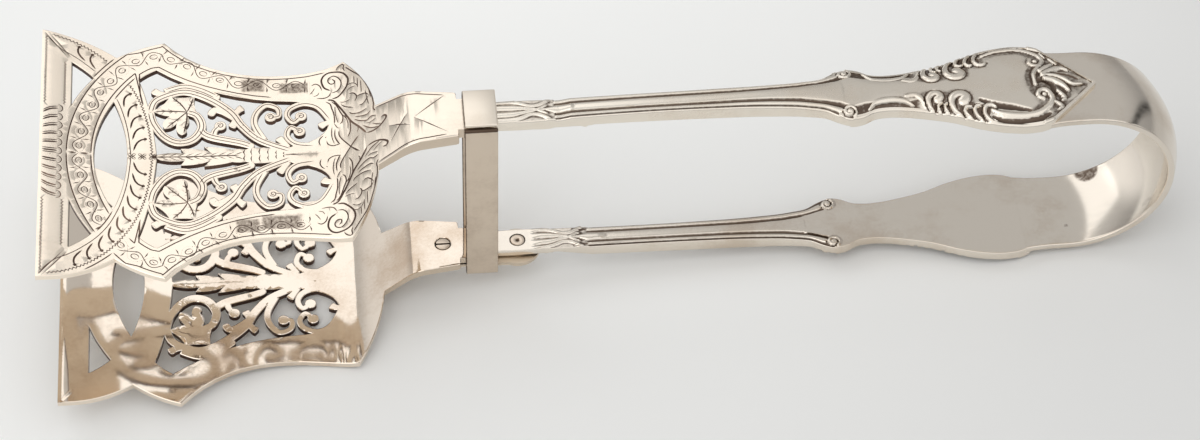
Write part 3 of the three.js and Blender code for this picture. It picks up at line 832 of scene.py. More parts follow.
def inCrescent(point):
    middle = np.array(crescentMiddle)
    d, where = distanceTo(np.array([point[0]]), np.array([abs(point[1])]), middle)
    half = np.interp(where[0] * (len(middle) - 1), range(len(middle)), crescentHalf)
    return d[0] < half + 0.9


# Two crossing strands with an oval in every link and ticks at every crossing
def chain(path, keep):
    p = np.asarray(dense(path, 0.1))
    run = np.arange(len(p)) * 0.1
    links = round(run[-1] / engraving["chainPitch"])
    phase = math.pi * links * run / run[-1]
    swing = engraving["chainSwing"] * np.sin(phase)
    strokes = []
    for part in split(parallel(p, swing)[::3], keep):
        strokes += stroked([part], "fine")
    for part in split(parallel(p, -swing)[::3], keep):
        strokes += stroked(dashed(part), "fine")
    for at, ahead in walk(p, run[-1] / links):
        if keep(at):
            strokes += stroked([oval(at, ahead, 1.7, 1.25)], "fine")
            strokes += stroked([local(at, ahead, [(-0.35, 0.2), (0.35, -0.15)])], "line")
    for i in range(links + 1):
        k = min(int(len(p) * i / links), len(p) - 2)
        at, ahead = p[k], p[k + 1] - p[k]
        ahead = ahead / np.linalg.norm(ahead)
        for side in (1, -1):
            tick = local(at, ahead, [(-0.15, side * 0.5), (0.05, side * 1.3), (0.1, side * 2.0)])
            if keep(tick[0]) and keep(tick[-1]):
                strokes += stroked([tick], "line")
    return strokes


def crescentStrokes(side):
    def keep(point):
        return side < 0 or not underRing(point)

    middle = spline(crescentMiddle, 6)
    half = np.interp(np.linspace(0, 1, len(middle)), np.linspace(0, 1, len(crescentHalf)), crescentHalf)
    strokes = []
    for part in split(dense(parallel(middle, half), 0.25), keep):
        strokes += stroked([wriggle(part)], "line")
    for part in split(dense(parallel(middle, -half), 0.5), keep):
        strokes += stroked([part], "fine")
    for at, ahead in walk(middle[8:], engraving["commaPitch"]):
        dot = local(at, ahead, [(0, -1.15)])[0]
        tail = local(at, ahead, [(0.0, -1.1), (0.2, -0.3), (0.8, 0.5), (1.8, 1.1), (3.1, 1.6)])
        if keep(dot) and keep(tail[-1]) and at[1] > 3.5:
            strokes += stroked([local(dot, ahead, [(u, 0) for u in (-0.36, -0.18, 0, 0.18, 0.36)])], "dot")
            strokes += stroked([spline(tail, 4)], "bold")
    corner = [(-86.6, 33.7), (-84.1, 30.2), (-81.7, 26.8)]
    strokes += stroked([corner, parallel(corner, 0.7)], "fine")
    if side > 0:
        for radius in engraving["ringEdges"]:
            low, high = (0.55, 0.72) if radius > 40 else (0.47, 0.69)
            edge = arc(engraving["ringCentre"], radius, math.pi - low, math.pi - high, 10)
            strokes += stroked([edge], "line")
    else:
        for offset, start, end in ((-3.0, 0.5, 0.72), (3.0, 0.22, 0.45)):
            first, last = int(len(middle) * start), int(len(middle) * end)
            strokes += stroked([parallel(middle, offset)[first:last]], "line")
    return strokes


def ringStrokes(side):
    def keep(point):
        return side > 0 or not inCrescent(point)

    strokes = []
    centre = engraving["ringCentre"]
    outerRadius, innerRadius = engraving["ringRadii"]
    outline = quads(outlineShares, 1, 12)
    border = [p for p in parallel(outline, -engraving["borderInset"]) if -68.5 < p[0] < -25.5]
    outer = arc(centre, outerRadius, math.pi, math.pi - 0.79, 40) + border[1:]
    window = quads(fieldShares)
    rim = [p for p in parallel(window, engraving["borderInset"]) if p[0] < -35.5 and p[1] > 14]
    inner = arc(centre, innerRadius, math.pi, math.pi - 0.72, 40) + [p for p in rim if p[0] > -67]
    for line in (outer, inner):
        for part in split(dense(line, 0.35), keep):
            strokes += stroked([part], "line")
    middle = arc(centre, engraving["chainRadius"], math.pi, math.pi - 0.78, 30) + borderMiddle
    return strokes + chain(middle, keep)


def tipStrokes():
    count, pitch = engraving["gadroonCount"], engraving["gadroonPitch"]
    strokes = []
    for i in range(count + 1):
        y, lean = i * pitch, 0.3 * i
        tongue = [(-86.6, y - lean / 2), (-85.2, y + lean / 5), (-83.5, y + lean / 2)]
        strokes += stroked([spline(tongue, 4)], "bold")
        strokes += stroked([spline([(x, v + pitch / 4) for x, v in tongue], 4)], "line")
        lobe = [(-83.6, y - pitch / 2), (-82.9, y - pitch / 3), (-82.6, y), (-82.9, y + pitch / 3),
                (-83.6, y + pitch / 2)]
        strokes += stroked([spline([(x, v + lean / 2) for x, v in lobe], 3)], "fine")
        between = [(-86.2, y + pitch / 2 - lean / 3), (-84.2, y + pitch / 2 + lean / 2)]
        strokes += stroked(dashed(between, 0.5), "fine")
    low = engraving["plainStart"]
    strokes += stroked([wriggle([(engraving["tipLine"], low), (engraving["tipLine"], 33.2)])], "line")
    strokes += stroked([wriggle([(engraving["bandLine"], low), (engraving["bandLine"], 26.0)])], "line")
    return strokes


# Lines on the openwork of one half: stems, veins, feather and calyx
def openworkStrokes():
    strokes = []
    for shares in stemShares:
        line = spline([bladePoint(s) for s in shares], 7)
        strokes += stroked([parallel(line, 0.42)[1:-1], parallel(line, -0.42)[1:-1]], "fine")
    for shares in scrollShares:
        line = spline([bladePoint(s) for s in shares], 8)
        strokes += stroked([parallel(line, 0.12)[2:-2]], "fine")
        turn = [(line[-1][0] + r * math.cos(a), line[-1][1] + r * math.sin(a))
                for r, a in zip(np.linspace(0.15, 0.85, 12), np.linspace(0, 3 * math.pi, 12))]
        strokes += stroked([turn], "fine")
    base = bladePoint((0.652, 0.37))
    for tip in ((0.638, 0.48), (0.688, 0.495), (0.728, 0.375), (0.7, 0.245), (0.66, 0.2)):
        end = bladePoint(tip)
        bend = ((base[0] + end[0]) / 2 + 0.25, (base[1] + end[1]) / 2 + 0.2)
        strokes += stroked([spline([base, bend, end], 5)], "line")
        for share in (0.45, 0.7):
            at = tuple(np.array(base) * (1 - share) + np.array(end) * share)
            ahead = np.array(end) - np.array(base)
            ahead = ahead / np.linalg.norm(ahead)
            for turn in (1, -1):
                strokes += stroked([local(at, ahead, [(0, 0), (0.7, turn * 0.6)])], "fine")
    for x in np.arange(-64.0, -46.0, 1.7):
        strokes += stroked([[(x, 0.15), (x + 0.7, 0.5), (x + 1.7, 0.95)]], "fine")
    for x, half in ((-44.9, 1.6), (-43.4, 1.9), (-41.7, 1.9), (-39.9, 1.6), (-38.2, 1.2), (-36.6, 0.7)):
        strokes += stroked([[(x, 0), (x - 0.2, half / 2), (x, half)]], "line")
    return strokes


def flower(x):
    strokes = []
    for i in range(4):
        angle = math.pi / 4 + i * math.pi / 2
        ahead = (math.cos(angle), math.sin(angle))
        strokes += stroked([oval((x + ahead[0] * 0.62, ahead[1] * 0.62), ahead, 0.95, 0.5, 8)], "fine")
    return strokes


def engravedBlade():
    strokes = []
    for side in (1, -1):
        half = crescentStrokes(side) + ringStrokes(side) + tipStrokes() + openworkStrokes()
        for kind, lines in heelLines.items():
            half += stroked([spline(line, 3) for line in lines], kind)
        strokes += [([(x, y * side) for x, y in line], width, depth) for line, width, depth in half]
    strokes += stroked(shankLines, "line")
    for side in (1, -1):
        edge = quads(outlineShares, side, 12) + [(-2.2, side * blade["shankHalfWidth"])]
        inset = [p for p in parallel(edge, -side * blade["shankBorder"]) if p[0] > -17.2]
        strokes += stroked([dense(inset, 0.5)], "line")
    strokes += stroked([[(-64.5, 0), (-46.0, 0)], [(-36.3, 0), (-29.0, 0)]], "line")
    for x in (-68.4, -66.2, -64.0):
        strokes += flower(x)
    return strokes


strokes = engravedBlade()
upperBlade = buildBlade(
    "upperBladeSheet", tongs["halfOpening"] + blade["upperShankThickness"],
    blade["upperShankThickness"], blade["upperLap"][1], True, strokes, "bladePolish")
dress(upperBlade, "upper_half", "upper_blade")
lowerBlade = buildBlade(
    "lowerBladeSheet", -tongs["halfOpening"],
    blade["lowerShankThickness"], blade["lowerTongueEnd"], False, strokes, "lowerBladePolish")
dress(lowerBlade, "lower_half", "lower_blade")


# Arms: a struck bar, drawn as rings of points across it
arm = {
    "start": 4.7,
    "length": 131.3,
    "halfWidth": 11.6,
    "thickness": 3.8,
    "upperEnd": (2.3, 2.8),
    "lowerEnd": (5.0, 1.8),
    "thinEnd": 21.5,
    "thinRamp": 0.22,
    "upperLap": (7.7, 1.7),
    "bowLap": (124.7, 1.5),
    "rowStep": 0.24,
    "plainStep": 0.6,
    "plainRows": (25.0, 77.0),
    "columns": 96,
    "innerColumns": 64,
    "outerRound": 0.5,
    "innerRound": 0.25,
    "cornerPlace": 0.9195,
    "pinX": 12.8,
    "pinHole": 1.72,
    "pinSink": 0.45,
    "pinRows": (2.2, 0.11),
    "lapStep": 0.01,
    "crownRise": (45, 50),
    "crownFall": 14,
}
# Place along the arm, half width, thickness
armShares = [
    (0, 0.25, 0.74), (0.0325, 0.262, 0.76), (0.063, 0.27, 0.8), (0.116, 0.256, 0.84),
    (0.191, 0.247, 0.92), (0.3575, 0.252, 1), (0.463, 0.285, 0.95), (0.524, 0.345, 0.86),
    (0.558, 0.43, 0.78), (0.573, 0.53, 0.74), (0.59, 0.61, 0.7), (0.6145, 0.58, 0.67),
    (0.633, 0.475, 0.64), (0.656, 0.44, 0.62), (0.679, 0.455, 0.61), (0.72, 0.54, 0.6),
    (0.758, 0.65, 0.6), (0.8035, 0.85, 0.6), (0.849, 0.975, 0.6), (0.879, 1, 0.6),
    (0.902, 0.965, 0.6), (0.9195, 0.89, 0.6), (0.96, 0.46, 0.6), (1, 0.03, 0.6),
]


def armHalf(x):
    at = (np.asarray(x) - arm["start"]) / arm["length"]
    corner, table = arm["cornerPlace"], np.array(armShares)
    smooth = eased(table[table[:, 0] <= corner], 1, at)
    return arm["halfWidth"] * np.where(at > corner, np.interp(at, table[:, 0], table[:, 1]), smooth)


def armHeight(x, endThickness):
    full = arm["thickness"] * eased(armShares, 2, (x - arm["start"]) / arm["length"])
    ramp = endThickness + np.clip(x - arm["thinEnd"], 0, None) * arm["thinRamp"]
    return np.minimum(full, np.maximum(endThickness, ramp))


# Relief of the arms in millimetres: place along the arm and distance from the middle
relief = {
    "groove": 0.45,
    "upperCrown": 1.5,
    "lowerCrown": 0.3,
    "eyeRadius": 0.48,
    "ground": 0.32,
    "calyxGround": 0.14,
    "ridge": 0.5,
    "hollow": 0.4,
    "volutePlace": 82.3,
    "voluteInset": 1.75,
    "voluteRadius": 1.5,
    "threadStart": 20.5,
    "threadEnd": 81.5,
    "waistEnd": 98.0,
    "waistFade": 1.5,
    "waistRim": (80, 99, 0.86, 0.05),
    "calyxStart": (8, 0.5),
    "innerShift": 7.5,
    "innerStart": (16.5, 1.2),
    "innerFade": (15.5, 2.5),
    "shellBed": ([(124.8, 0), (127.5, 0), (131.0, 0)], (5.0, 5.6, 3.4), -0.24),
    "arrow": (123, 0.95, 0.28),
    "tarnishCells": 3,
    "tarnishStep": 0.16,
    "tarnishDepth": 0.4,
    "haloCells": 7,
    "haloStep": 0.1,
    "haloShare": 0.6,
}
panelHalf = [
    (20, 0.9), (60, 1.0), (66, 1.15), (72, 1.5), (77.5, 2.3), (80.5, 2.9), (82, 3.5), (83.2, 4.1), (86, 3.3),
    (89, 3.1), (92, 3.1), (94, 3.5), (97, 3.0), (99, 2.7),
]
# Share of the way from the panel to the edge, and level
threadLevels = [
    (0, -0.05), (0.08, -0.7), (0.2, -1), (0.32, -0.8), (0.42, -0.05), (0.56, 0.12), (0.7, -0.05),
    (0.78, -0.85), (0.92, -0.85), (1, -0.2),
]
scrollRidges = [
    ([(101.3, 3.5), (101.8, 2.8), (101.2, 2.1), (100.1, 2.2), (99.3, 3.3), (99.5, 5.1), (100.5, 6.8)],
     (1.1, 1.0, 0.85, 0.85, 0.7, 0.5, 0.3)),
    ([(106.7, 4.2), (107.2, 3.4), (106.6, 2.6), (105.4, 2.6), (104.4, 3.4), (104.2, 4.9), (104.8, 6.6),
      (106.2, 8.2)], (1.4, 1.3, 1.1, 1.05, 0.9, 0.7, 0.5, 0.3)),
    ([(102.0, 4.4), (101.4, 4.7), (101.2, 5.6), (101.8, 6.8)], (0.3, 0.4, 0.4, 0.2)),
    ([(103.1, 4.6), (102.6, 5.1), (102.8, 6.2), (103.6, 7.3)], (0.3, 0.4, 0.4, 0.2)),
    ([(108.1, 6.0), (107.3, 5.8), (106.7, 6.5), (107.1, 7.7), (108.4, 9.1)], (0.3, 0.45, 0.45, 0.4, 0.2)),
    ([(110.0, 5.8), (109.3, 5.8), (108.8, 6.7), (109.2, 8.2), (110.3, 9.5)], (0.3, 0.5, 0.5, 0.4, 0.2)),
    ([(113.2, 6.4), (112.4, 5.8), (111.3, 6.0), (110.8, 7.2), (111.1, 8.6), (112.7, 10.2), (117.7, 11.2),
      (122.0, 10.9), (125.1, 9.9)], (0.3, 0.5, 0.55, 0.5, 0.45, 0.4, 0.4, 0.4, 0.3)),
]
scrollBeds = [
    ([(103.2, 5.6), (101.6, 5.4), (101.0, 6.4)], 1.3),
    ([(110.4, 7.2), (107.6, 7.0), (106.4, 7.4)], 1.7),
]
nearRidge = [
    (112.4, 7.1), (114.2, 8.0), (116.7, 8.6), (119.6, 8.8), (122.5, 8.2), (124.5, 6.8), (125.6, 5.2),
    (125.6, 3.8), (124.9, 2.6), (123.8, 2.4), (122.9, 3.2), (122.9, 4.3), (123.8, 4.8),
]
farRidge = [
    (112.6, 8.6), (115.2, 9.8), (118.2, 10.3), (121.0, 10.1), (123.2, 9.1), (124.9, 7.7), (125.3, 6.1),
    (124.6, 4.8), (123.4, 4.7), (122.5, 5.4), (122.8, 6.7),
]
nearEye, farEye = (124.1, 3.7), (123.8, 6.0)
nearHollows = [
    ([(112.5, 8.6), (115.1, 9.9), (119.3, 10.2), (122.2, 9.7), (124.5, 8.5)], (0.3, 0.75, 0.8, 0.75, 0.4)),
    ([(110.3, 4.2), (113.5, 5.8), (117.1, 6.7), (120.5, 7.6)], (0.4, 0.9, 0.8, 0.3)),
]
shellRidges = [
    ([(122.7, -0.9), (122.7, 1.9), (123.9, 3.9), (124.8, 4.5)], 0.55),
    ([(124.2, 3.0), (125.8, 4.1), (127.4, 5.1)], 0.75),
    ([(124.6, 2.1), (126.8, 3.4), (129.0, 4.2), (130.4, 3.7)], 0.75),
    ([(124.6, 1.7), (127.1, 1.8), (129.2, 1.0), (130.9, -0.4), (132.9, -0.4)], 0.6),
    ([(125.0, 0.9), (126.8, 0.5), (128.6, -0.7), (129.7, -2.3)], 0.8),
    ([(127.1, -2.5), (128.1, -3.6), (128.5, -4.6), (127.7, -5.2)], 0.6),
    ([(126.3, -5.6), (127.1, -6.1), (127.5, -6.8), (126.7, -7.4)], 0.6),
    ([(127.0, 6.9), (127.7, 6.1), (128.3, 5.2)], 0.4),
    ([(125.4, 8.7), (126.1, 7.3)], 0.4),
]
shellHollows = [
    ([(124.4, 1.9), (127.0, 2.5), (129.8, 2.5), (132.2, 1.4)], 0.35),
    ([(123.2, 0.3), (124.6, 0.4), (126.2, -0.8), (126.6, -3.0)], 0.75),
]
# Waist leaves: place and share of the half width
waistLeaves = [
    [(86.6, 0.8), (88.1, 0.62), (90.2, 0.56), (92.2, 0.55), (94.4, 0.62), (96.0, 0.8)],
    [(94.6, 0.42), (96.5, 0.35), (97.8, 0.5), (98.8, 0.85)],
]
calyxRidges = [
    ([(7.8, 0.95), (11.5, 0.9), (14.2, 0.55), (16.6, 0.15)], (0.75, 0.8, 0.6, 0.3)),
    ([(7.8, 2.5), (11.0, 2.45), (13.2, 2.0), (15.2, 1.2), (17.0, 1.3), (18.5, 2.1), (19.3, 2.6)],
     (0.5, 0.5, 0.55, 0.55, 0.6, 0.5, 0.3)),
    ([(14.5, 0), (16.7, 0), (18.6, 0)], (0.3, 0.5, 0.3)),
    ([(16.8, 0.2), (17.8, 0.6), (18.7, 1.1)], (0.3, 0.45, 0.25)),
    ([(18.6, 0), (20.8, 0), (23.6, 0)], (0.45, 1.15, 0.9)),
]


# A line struck as a round ridge or, below zero, as a round hollow
def strike(level, gridX, gridY, line, widths, height):
    p = np.asarray(spline(line, 5))
    widths = np.atleast_1d(widths)
    reach = widths.max()
    low, high = p.min(0) - reach, p.max(0) + reach
    near = (gridX >= low[0]) & (gridX <= high[0]) & (gridY >= low[1]) & (gridY <= high[1])
    if not near.any():
        return
    d, t = distanceTo(gridX[near], gridY[near], p)
    width = np.interp(t, np.linspace(0, 1, len(widths)), widths)
    shape = np.sqrt(np.clip(1 - (d / width) ** 2, 0, 1))
    inside = d < width
    if height > 0:
        grown = np.maximum(level[near], -relief["hollow"] / 2 + (height + relief["hollow"] / 2) * shape)
    else:
        grown = np.minimum(level[near], height * shape)
    level[near] = np.where(inside, grown, level[near])


def threads(gridX, aside, half):
    table, panel = np.array(threadLevels), np.array(panelHalf)
    edge = np.interp(gridX, panel[:, 0], panel[:, 1])
    share = (aside - edge) / np.maximum(half - edge, 0.1)
    level = relief["groove"] * np.interp(share, table[:, 0], table[:, 1])
    crown = 0.12 * (1 - (aside / np.maximum(edge, 0.1)) ** 2)
    return np.where(share < 0, crown, level)


def volutes(level, gridX, aside, half):
    x, r = relief["volutePlace"], relief["voluteRadius"]
    y = float(armHalf(x)) - relief["voluteInset"]
    toCentre = np.hypot(gridX - x, aside - y)
    level[toCentre < r] = -relief["ground"]
    turns = np.linspace(0.3 * math.pi, 3.3 * math.pi, 30)
    line = [(x - r * t / turns[-1] * math.cos(t), y - r * t / turns[-1] * math.sin(t)) for t in turns]
    strike(level, gridX, aside, line, (0.45, 0.36), 0.3)
    strike(level, gridX, aside, [(x - 0.1, y), (x, y), (x + 0.1, y)], 0.5, 0.4)


def calyx(level, gridX, aside, shift):
    for line, widths in calyxRidges:
        strike(level, gridX, aside, [(x + shift, v) for x, v in line], widths, relief["ridge"] * 0.6)


def outerRelief(gridX, gridY, half):
    aside = np.abs(gridY)
    ridge, hollow, waistEnd = relief["ridge"], relief["hollow"], relief["waistEnd"]
    panel = np.array(panelHalf)
    sunk = -relief["ground"] * np.clip((aside - np.interp(gridX, panel[:, 0], panel[:, 1])) / 0.35, 0, 1)
    threadPart = (gridX > relief["threadStart"]) & (gridX < relief["threadEnd"])
    waist = (gridX >= relief["threadEnd"]) & (gridX < waistEnd)
    level = np.where(threadPart, threads(gridX, aside, half), np.where(waist, sunk, 0))
    start, ramp = relief["calyxStart"]
    ground = -relief["calyxGround"] * np.clip((gridX - start) / ramp, 0, 1)
    level = np.where(gridX <= relief["threadStart"], ground, level)
    low, high, share, drop = relief["waistRim"]
    level = np.where((aside > half * share) & (gridX > low) & (gridX < high), -drop, level)
    fade = np.clip((waistEnd - gridX) / relief["waistFade"], 0, 1)
    level = np.where((gridX > waistEnd - relief["waistFade"]) & (gridX < waistEnd), level * fade, level)
    calyx(level, gridX, aside, 0)
    volutes(level, gridX, aside, half)
    for leaf in waistLeaves:
        line = [(x, share * float(armHalf(x))) for x, share in leaf]
        strike(level, gridX, aside, line, (0.3, 0.6, 0.65, 0.55, 0.3), ridge * 0.5)
    for line, widths in nearHollows:
        strike(level, gridX, -gridY, line, widths, -hollow)
    strike(level, gridX, gridY, *relief["shellBed"])
    for line, width in shellHollows:
        strike(level, gridX, gridY, line, width, -hollow * 1.3)
    for line, width in scrollBeds:
        strike(level, gridX, aside, line, width, -hollow)
    for line, widths in scrollRidges:
        strike(level, gridX, aside, line, np.array(widths) + 0.28, -hollow * 0.6)
    for line, widths in scrollRidges:
        strike(level, gridX, aside, line, widths, ridge)
    strike(level, gridX, -gridY, nearRidge, (0.35, 0.7, 0.75, 0.75, 0.7, 0.6, 0.55, 0.5), ridge * 0.8)
    strike(level, gridX, gridY, farRidge, (0.35, 0.6, 0.6, 0.6, 0.6, 0.55, 0.5), ridge * 0.8)
    for (x, y), side in ((nearEye, -1), (farEye, 1)):
        strike(level, gridX, side * gridY, [(x - 0.1, y), (x + 0.1, y)], relief["eyeRadius"], ridge)
    for line, width in shellRidges:
        strike(level, gridX, gridY, line, (width * 0.7, width, width * 0.5), ridge * 0.9)
    start, border, height = relief["arrow"]
    arrow = (gridX > start) & (aside > half - border) & (aside < half + 0.1)
    level = np.where(arrow, np.maximum(level, height), level)
    return np.where((level > 0) & ~arrow, level * np.clip((half - aside - 0.4) / 0.5, 0, 1), level)


def innerRelief(gridX, gridY, half):
    aside = np.abs(gridY)
    level = np.zeros(gridX.shape)
    threadStart, threadEnd = relief["threadStart"] + relief["innerShift"], relief["threadEnd"]
    level = np.where((gridX > threadStart) & (gridX < threadEnd), threads(gridX, aside, half), level)
    start, ramp = relief["innerStart"]
    ground = -relief["calyxGround"] * np.clip((gridX - start) / ramp, 0, 1)
    level = np.where((gridX <= threadStart) & (gridX > start), ground, level)
    calyx(level, gridX, aside, relief["innerShift"])
    start, ramp = relief["innerFade"]
    level = np.where(level > 0, level * np.clip((gridX - start) / ramp, 0, 1), level)
    ending = (gridX >= threadEnd - 5) & (gridX < threadEnd + 2)
    level = np.where(ending & (aside < half * 0.55), 0, level)
    volutes(level, gridX, aside, half)
    return level


def blurred(grid, reach):
    kernel = np.ones(2 * reach + 1) / (2 * reach + 1)
    padded = np.pad(grid, reach, mode="edge")
    padded = np.apply_along_axis(lambda row: np.convolve(row, kernel, "valid"), 1, padded)
    return np.apply_along_axis(lambda row: np.convolve(row, kernel, "valid"), 0, padded)


def hollowOf(grid, reach, depth):
    return np.clip((blurred(grid, reach) - grid) / depth, 0, 1)


def tarnished(level, halo):
    close = hollowOf(level, relief["tarnishCells"], relief["tarnishStep"])
    wide = halo * hollowOf(level, relief["haloCells"], relief["haloStep"])
    sunk = np.clip(-level / relief["tarnishDepth"], 0, 1)
    return np.maximum(np.maximum(close, sunk), wide)


# A bar's rounded side, from its outer face to its inner one
def roundedSide(half, outer, inner, outerRound, innerRound):
    angles = np.radians([22.5, 45, 67.5, 90])
    side = []
    for level, soft, turns, way in ((outer, outerRound, angles, -1), (inner, innerRound, angles[::-1], 1)):
        side += [(half - soft + soft * math.sin(a), level + way * soft * (1 - math.cos(a))) for a in turns]
    return side


def mirroredSide(side):
    return [(-y, level) for y, level in side[::-1]]


# A bar from its sections: quads between neighbours and a cap at each end
def makeBar(name, rings, finish, hollow, turned=False):
    count = len(rings[0])
    last = (len(rings) - 1) * count
    faces = []
    for base in range(0, last, count):
        for j in range(count):
            k = (j + 1) % count
            faces.append([base + j, base + count + j, base + count + k, base + k])
    faces += [list(range(count)), list(range(last, last + count))[::-1]]
    if turned:
        faces = [face[::-1] for face in faces]
    return makePiece(name, np.array(rings).reshape(-1, 3), faces, (finish,), None, hollow, sharp=50)


def armPlaces(upper, start):
    fine, (plainLow, plainHigh) = arm["rowStep"], arm["plainRows"]
    apex = arm["start"] + arm["length"]
    parts = [
        np.arange(start, plainLow, fine), np.arange(plainLow, plainHigh, arm["plainStep"]),
        np.arange(plainHigh, apex, fine), [apex],
    ]
    laps = [arm["bowLap"][0]] + ([arm["upperLap"][0]] if upper else [])
    parts += [[lap - arm["lapStep"], lap + arm["lapStep"]] for lap in laps]
    if not upper:
        reach, step = arm["pinRows"]
        parts.append(np.arange(arm["pinX"] - reach, arm["pinX"] + reach, step))
    return np.unique(np.round(np.concatenate(parts), 3))


def buildArm(name, upper):
    start, endThickness = arm["upperEnd"] if upper else arm["lowerEnd"]
    apex = arm["start"] + arm["length"]
    xs = armPlaces(upper, start)
    half = armHalf(xs)
    outerRound = np.minimum(arm["outerRound"], half * 0.12)
    innerRound = np.minimum(arm["innerRound"], half * 0.2)

    across = np.linspace(-1, 1, arm["columns"] + 1)
    gridX, gridY = np.repeat(xs[:, None], len(across), 1), (half - outerRound)[:, None] * across
    raised = outerRelief(gridX, gridY, half[:, None])
    riseStart, riseLength = arm["crownRise"]
    rise = np.clip((xs - riseStart) / riseLength, 0, 1) * np.clip((apex - xs) / arm["crownFall"], 0, 1)
    crown = relief["upperCrown" if upper else "lowerCrown"] * (rise * rise * (3 - 2 * rise))[:, None]
    outZ = armHeight(xs, endThickness)[:, None] + raised + crown * (1 - (gridY / half[:, None]) ** 2)
    hollowOuter = tarnished(raised, relief["haloShare"])

    across = np.linspace(1, -1, arm["innerColumns"] + 1)
    inX, inY = np.repeat(xs[:, None], len(across), 1), (half - innerRound)[:, None] * across
    sunk = innerRelief(inX, inY, half[:, None])
    inner = np.where(xs > arm["bowLap"][0], arm["bowLap"][1], 0.0)
    if upper:
        inner = np.where(xs < arm["upperLap"][0], arm["upperLap"][1], inner)
    else:
        sunk = np.where(np.hypot(inX - arm["pinX"], inY) < arm["pinHole"], -arm["pinSink"], sunk)
    inZ = inner[:, None] - sunk
    hollowInner = tarnished(sunk, 0)

    rings, hollow = [], []
    sideways = 1 if upper else -1
    for i, x in enumerate(xs):
        right = roundedSide(half[i], outZ[i, -1], inZ[i, 0], outerRound[i], innerRound[i])
        left = mirroredSide(roundedSide(half[i], outZ[i, 0], inZ[i, -1], outerRound[i], innerRound[i]))
        ring = list(zip(gridY[i], outZ[i])) + right + list(zip(inY[i], inZ[i])) + left
        rings.append([(x, y, sideways * (tongs["halfOpening"] + z)) for y, z in ring])
        plain = [0] * len(right)
        hollow += list(hollowOuter[i]) + plain + list(hollowInner[i]) + plain
    piece = makeBar(name, rings, "armSilver" if upper else "bowSilver", hollow, turned=not upper)
    print(name, len(piece.data.polygons), "faces")
    return piece


upperArm = buildArm("upperArmBar", True)
dress(upperArm, "upper_half", "upper_arm")
lowerArm = buildArm("lowerArmBar", False)
dress(lowerArm, "lower_half", "lower_arm")

# Bow: a crowned strap, straight under the arrows and round between them
bow = {
    "lapStart": 124.7,
    "centreX": 133.3,
    "radius": 19.6,
    "thickness": 1.5,
    "halfWidth": 10.0,
    "crown": 2.2,
    "edge": 0.4,
    "rows": 120,
    "columns": 44,
    "lapRows": 10,
    "blendLow": -15.0,
    "blendHigh": 18.0,
    "stainFade": (4, 3.5),
}
# Dark patches on the bow's inner face: turn in degrees, place across, half extents and strength
bowStains = [(155, 10.0, 8.5, 3.2, 0.7), (176, -4.7, 1.6, 0.5, 0.5), (121, -6.5, 5, 1.0, 0.3)]


def buildBow():
    lap, centre, radius = bow["lapStart"], bow["centreX"], bow["radius"]
    straight = np.linspace(lap, centre, bow["lapRows"])
    path = [(x, radius, 0.0) for x in straight[:-1]]
    for i in range(bow["rows"] + 1):
        turn = math.pi * i / bow["rows"]
        path.append((centre + radius * math.sin(turn), radius * math.cos(turn), turn))
    path += [(x, -radius, math.pi) for x in straight[-2::-1]]
    edge, (start, fade) = bow["edge"], bow["stainFade"]
    wide = float(armHalf(lap)) - bow["halfWidth"]
    rings, hollow = [], []
    for x, z, turn in path:
        half = bow["halfWidth"] + wide * max(0, (centre - x) / (centre - lap)) ** 3
        across = np.linspace(-(half - edge), half - edge, bow["columns"] + 1)
        crown = bow["crown"] * math.sin(turn)
        outer = [(y, bow["thickness"] + crown * (1 - (y / half) ** 2)) for y in across]
        inner = [(y, crown * (1 - (y / half) ** 2)) for y in across[::-1]]
        right = roundedSide(half, outer[-1][1], inner[0][1], edge, edge)
        ring = outer + right + inner + mirroredSide(right)
        rings.append([(x + math.sin(turn) * lift, y, z + math.cos(turn) * lift) for y, lift in ring])
        stain = np.zeros(len(across))
        for degrees, y, long, broad, strength in bowStains:
            away = np.hypot((math.degrees(turn) - degrees) / long, (across[::-1] - y) / broad)
            stain = np.maximum(stain, strength * np.clip(start - fade * away, 0, 1))
        plain = [0] * len(right)
        hollow += [0] * len(across) + plain + list(stain) + plain
    return makeBar("bowStrap", rings, "bowSilver", hollow)


bowStrap = buildBow()
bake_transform(bowStrap)
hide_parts("bow_spring")

# Collar: a frame of two sides and a base, and a cap on top
collar = {
    "front": 1.2,
    "rear": 8.2,
    "bore": 9.3,
    "wall": 0.95,
    "floor": -22.9,
    "base": 0.9,
    "frameTop": 22.9,
    "capUnderside": 23.2,
    "capTop": 24.1,
    "capOverlap": 0.45,
    "soft": 0.32,
    "seam": 0.7,
    "seamRamp": 0.15,
}


# A closed mesh between two outlines with matching points
def prism(first, second):
    mesh = bmesh.new()
    a, b = ([mesh.verts.new(point) for point in outline] for outline in (first, second))
    mesh.faces.new(a[::-1])
    mesh.faces.new(b)
    for i in range(len(a)):
        j = (i + 1) % len(a)
        mesh.faces.new((a[i], a[j], b[j], b[i]))
    return mesh


def soften(mesh, edges, soft):
    bmesh.ops.bevel(mesh, geom=edges, offset=soft, segments=3, profile=0.5, affect="EDGES")


def taken(mesh):
    # Points and faces as lists
    mesh.verts.index_update()
    points = [tuple(v.co) for v in mesh.verts]
    faces = [[v.index for v in f.verts] for f in mesh.faces]
    mesh.free()
    return points, faces
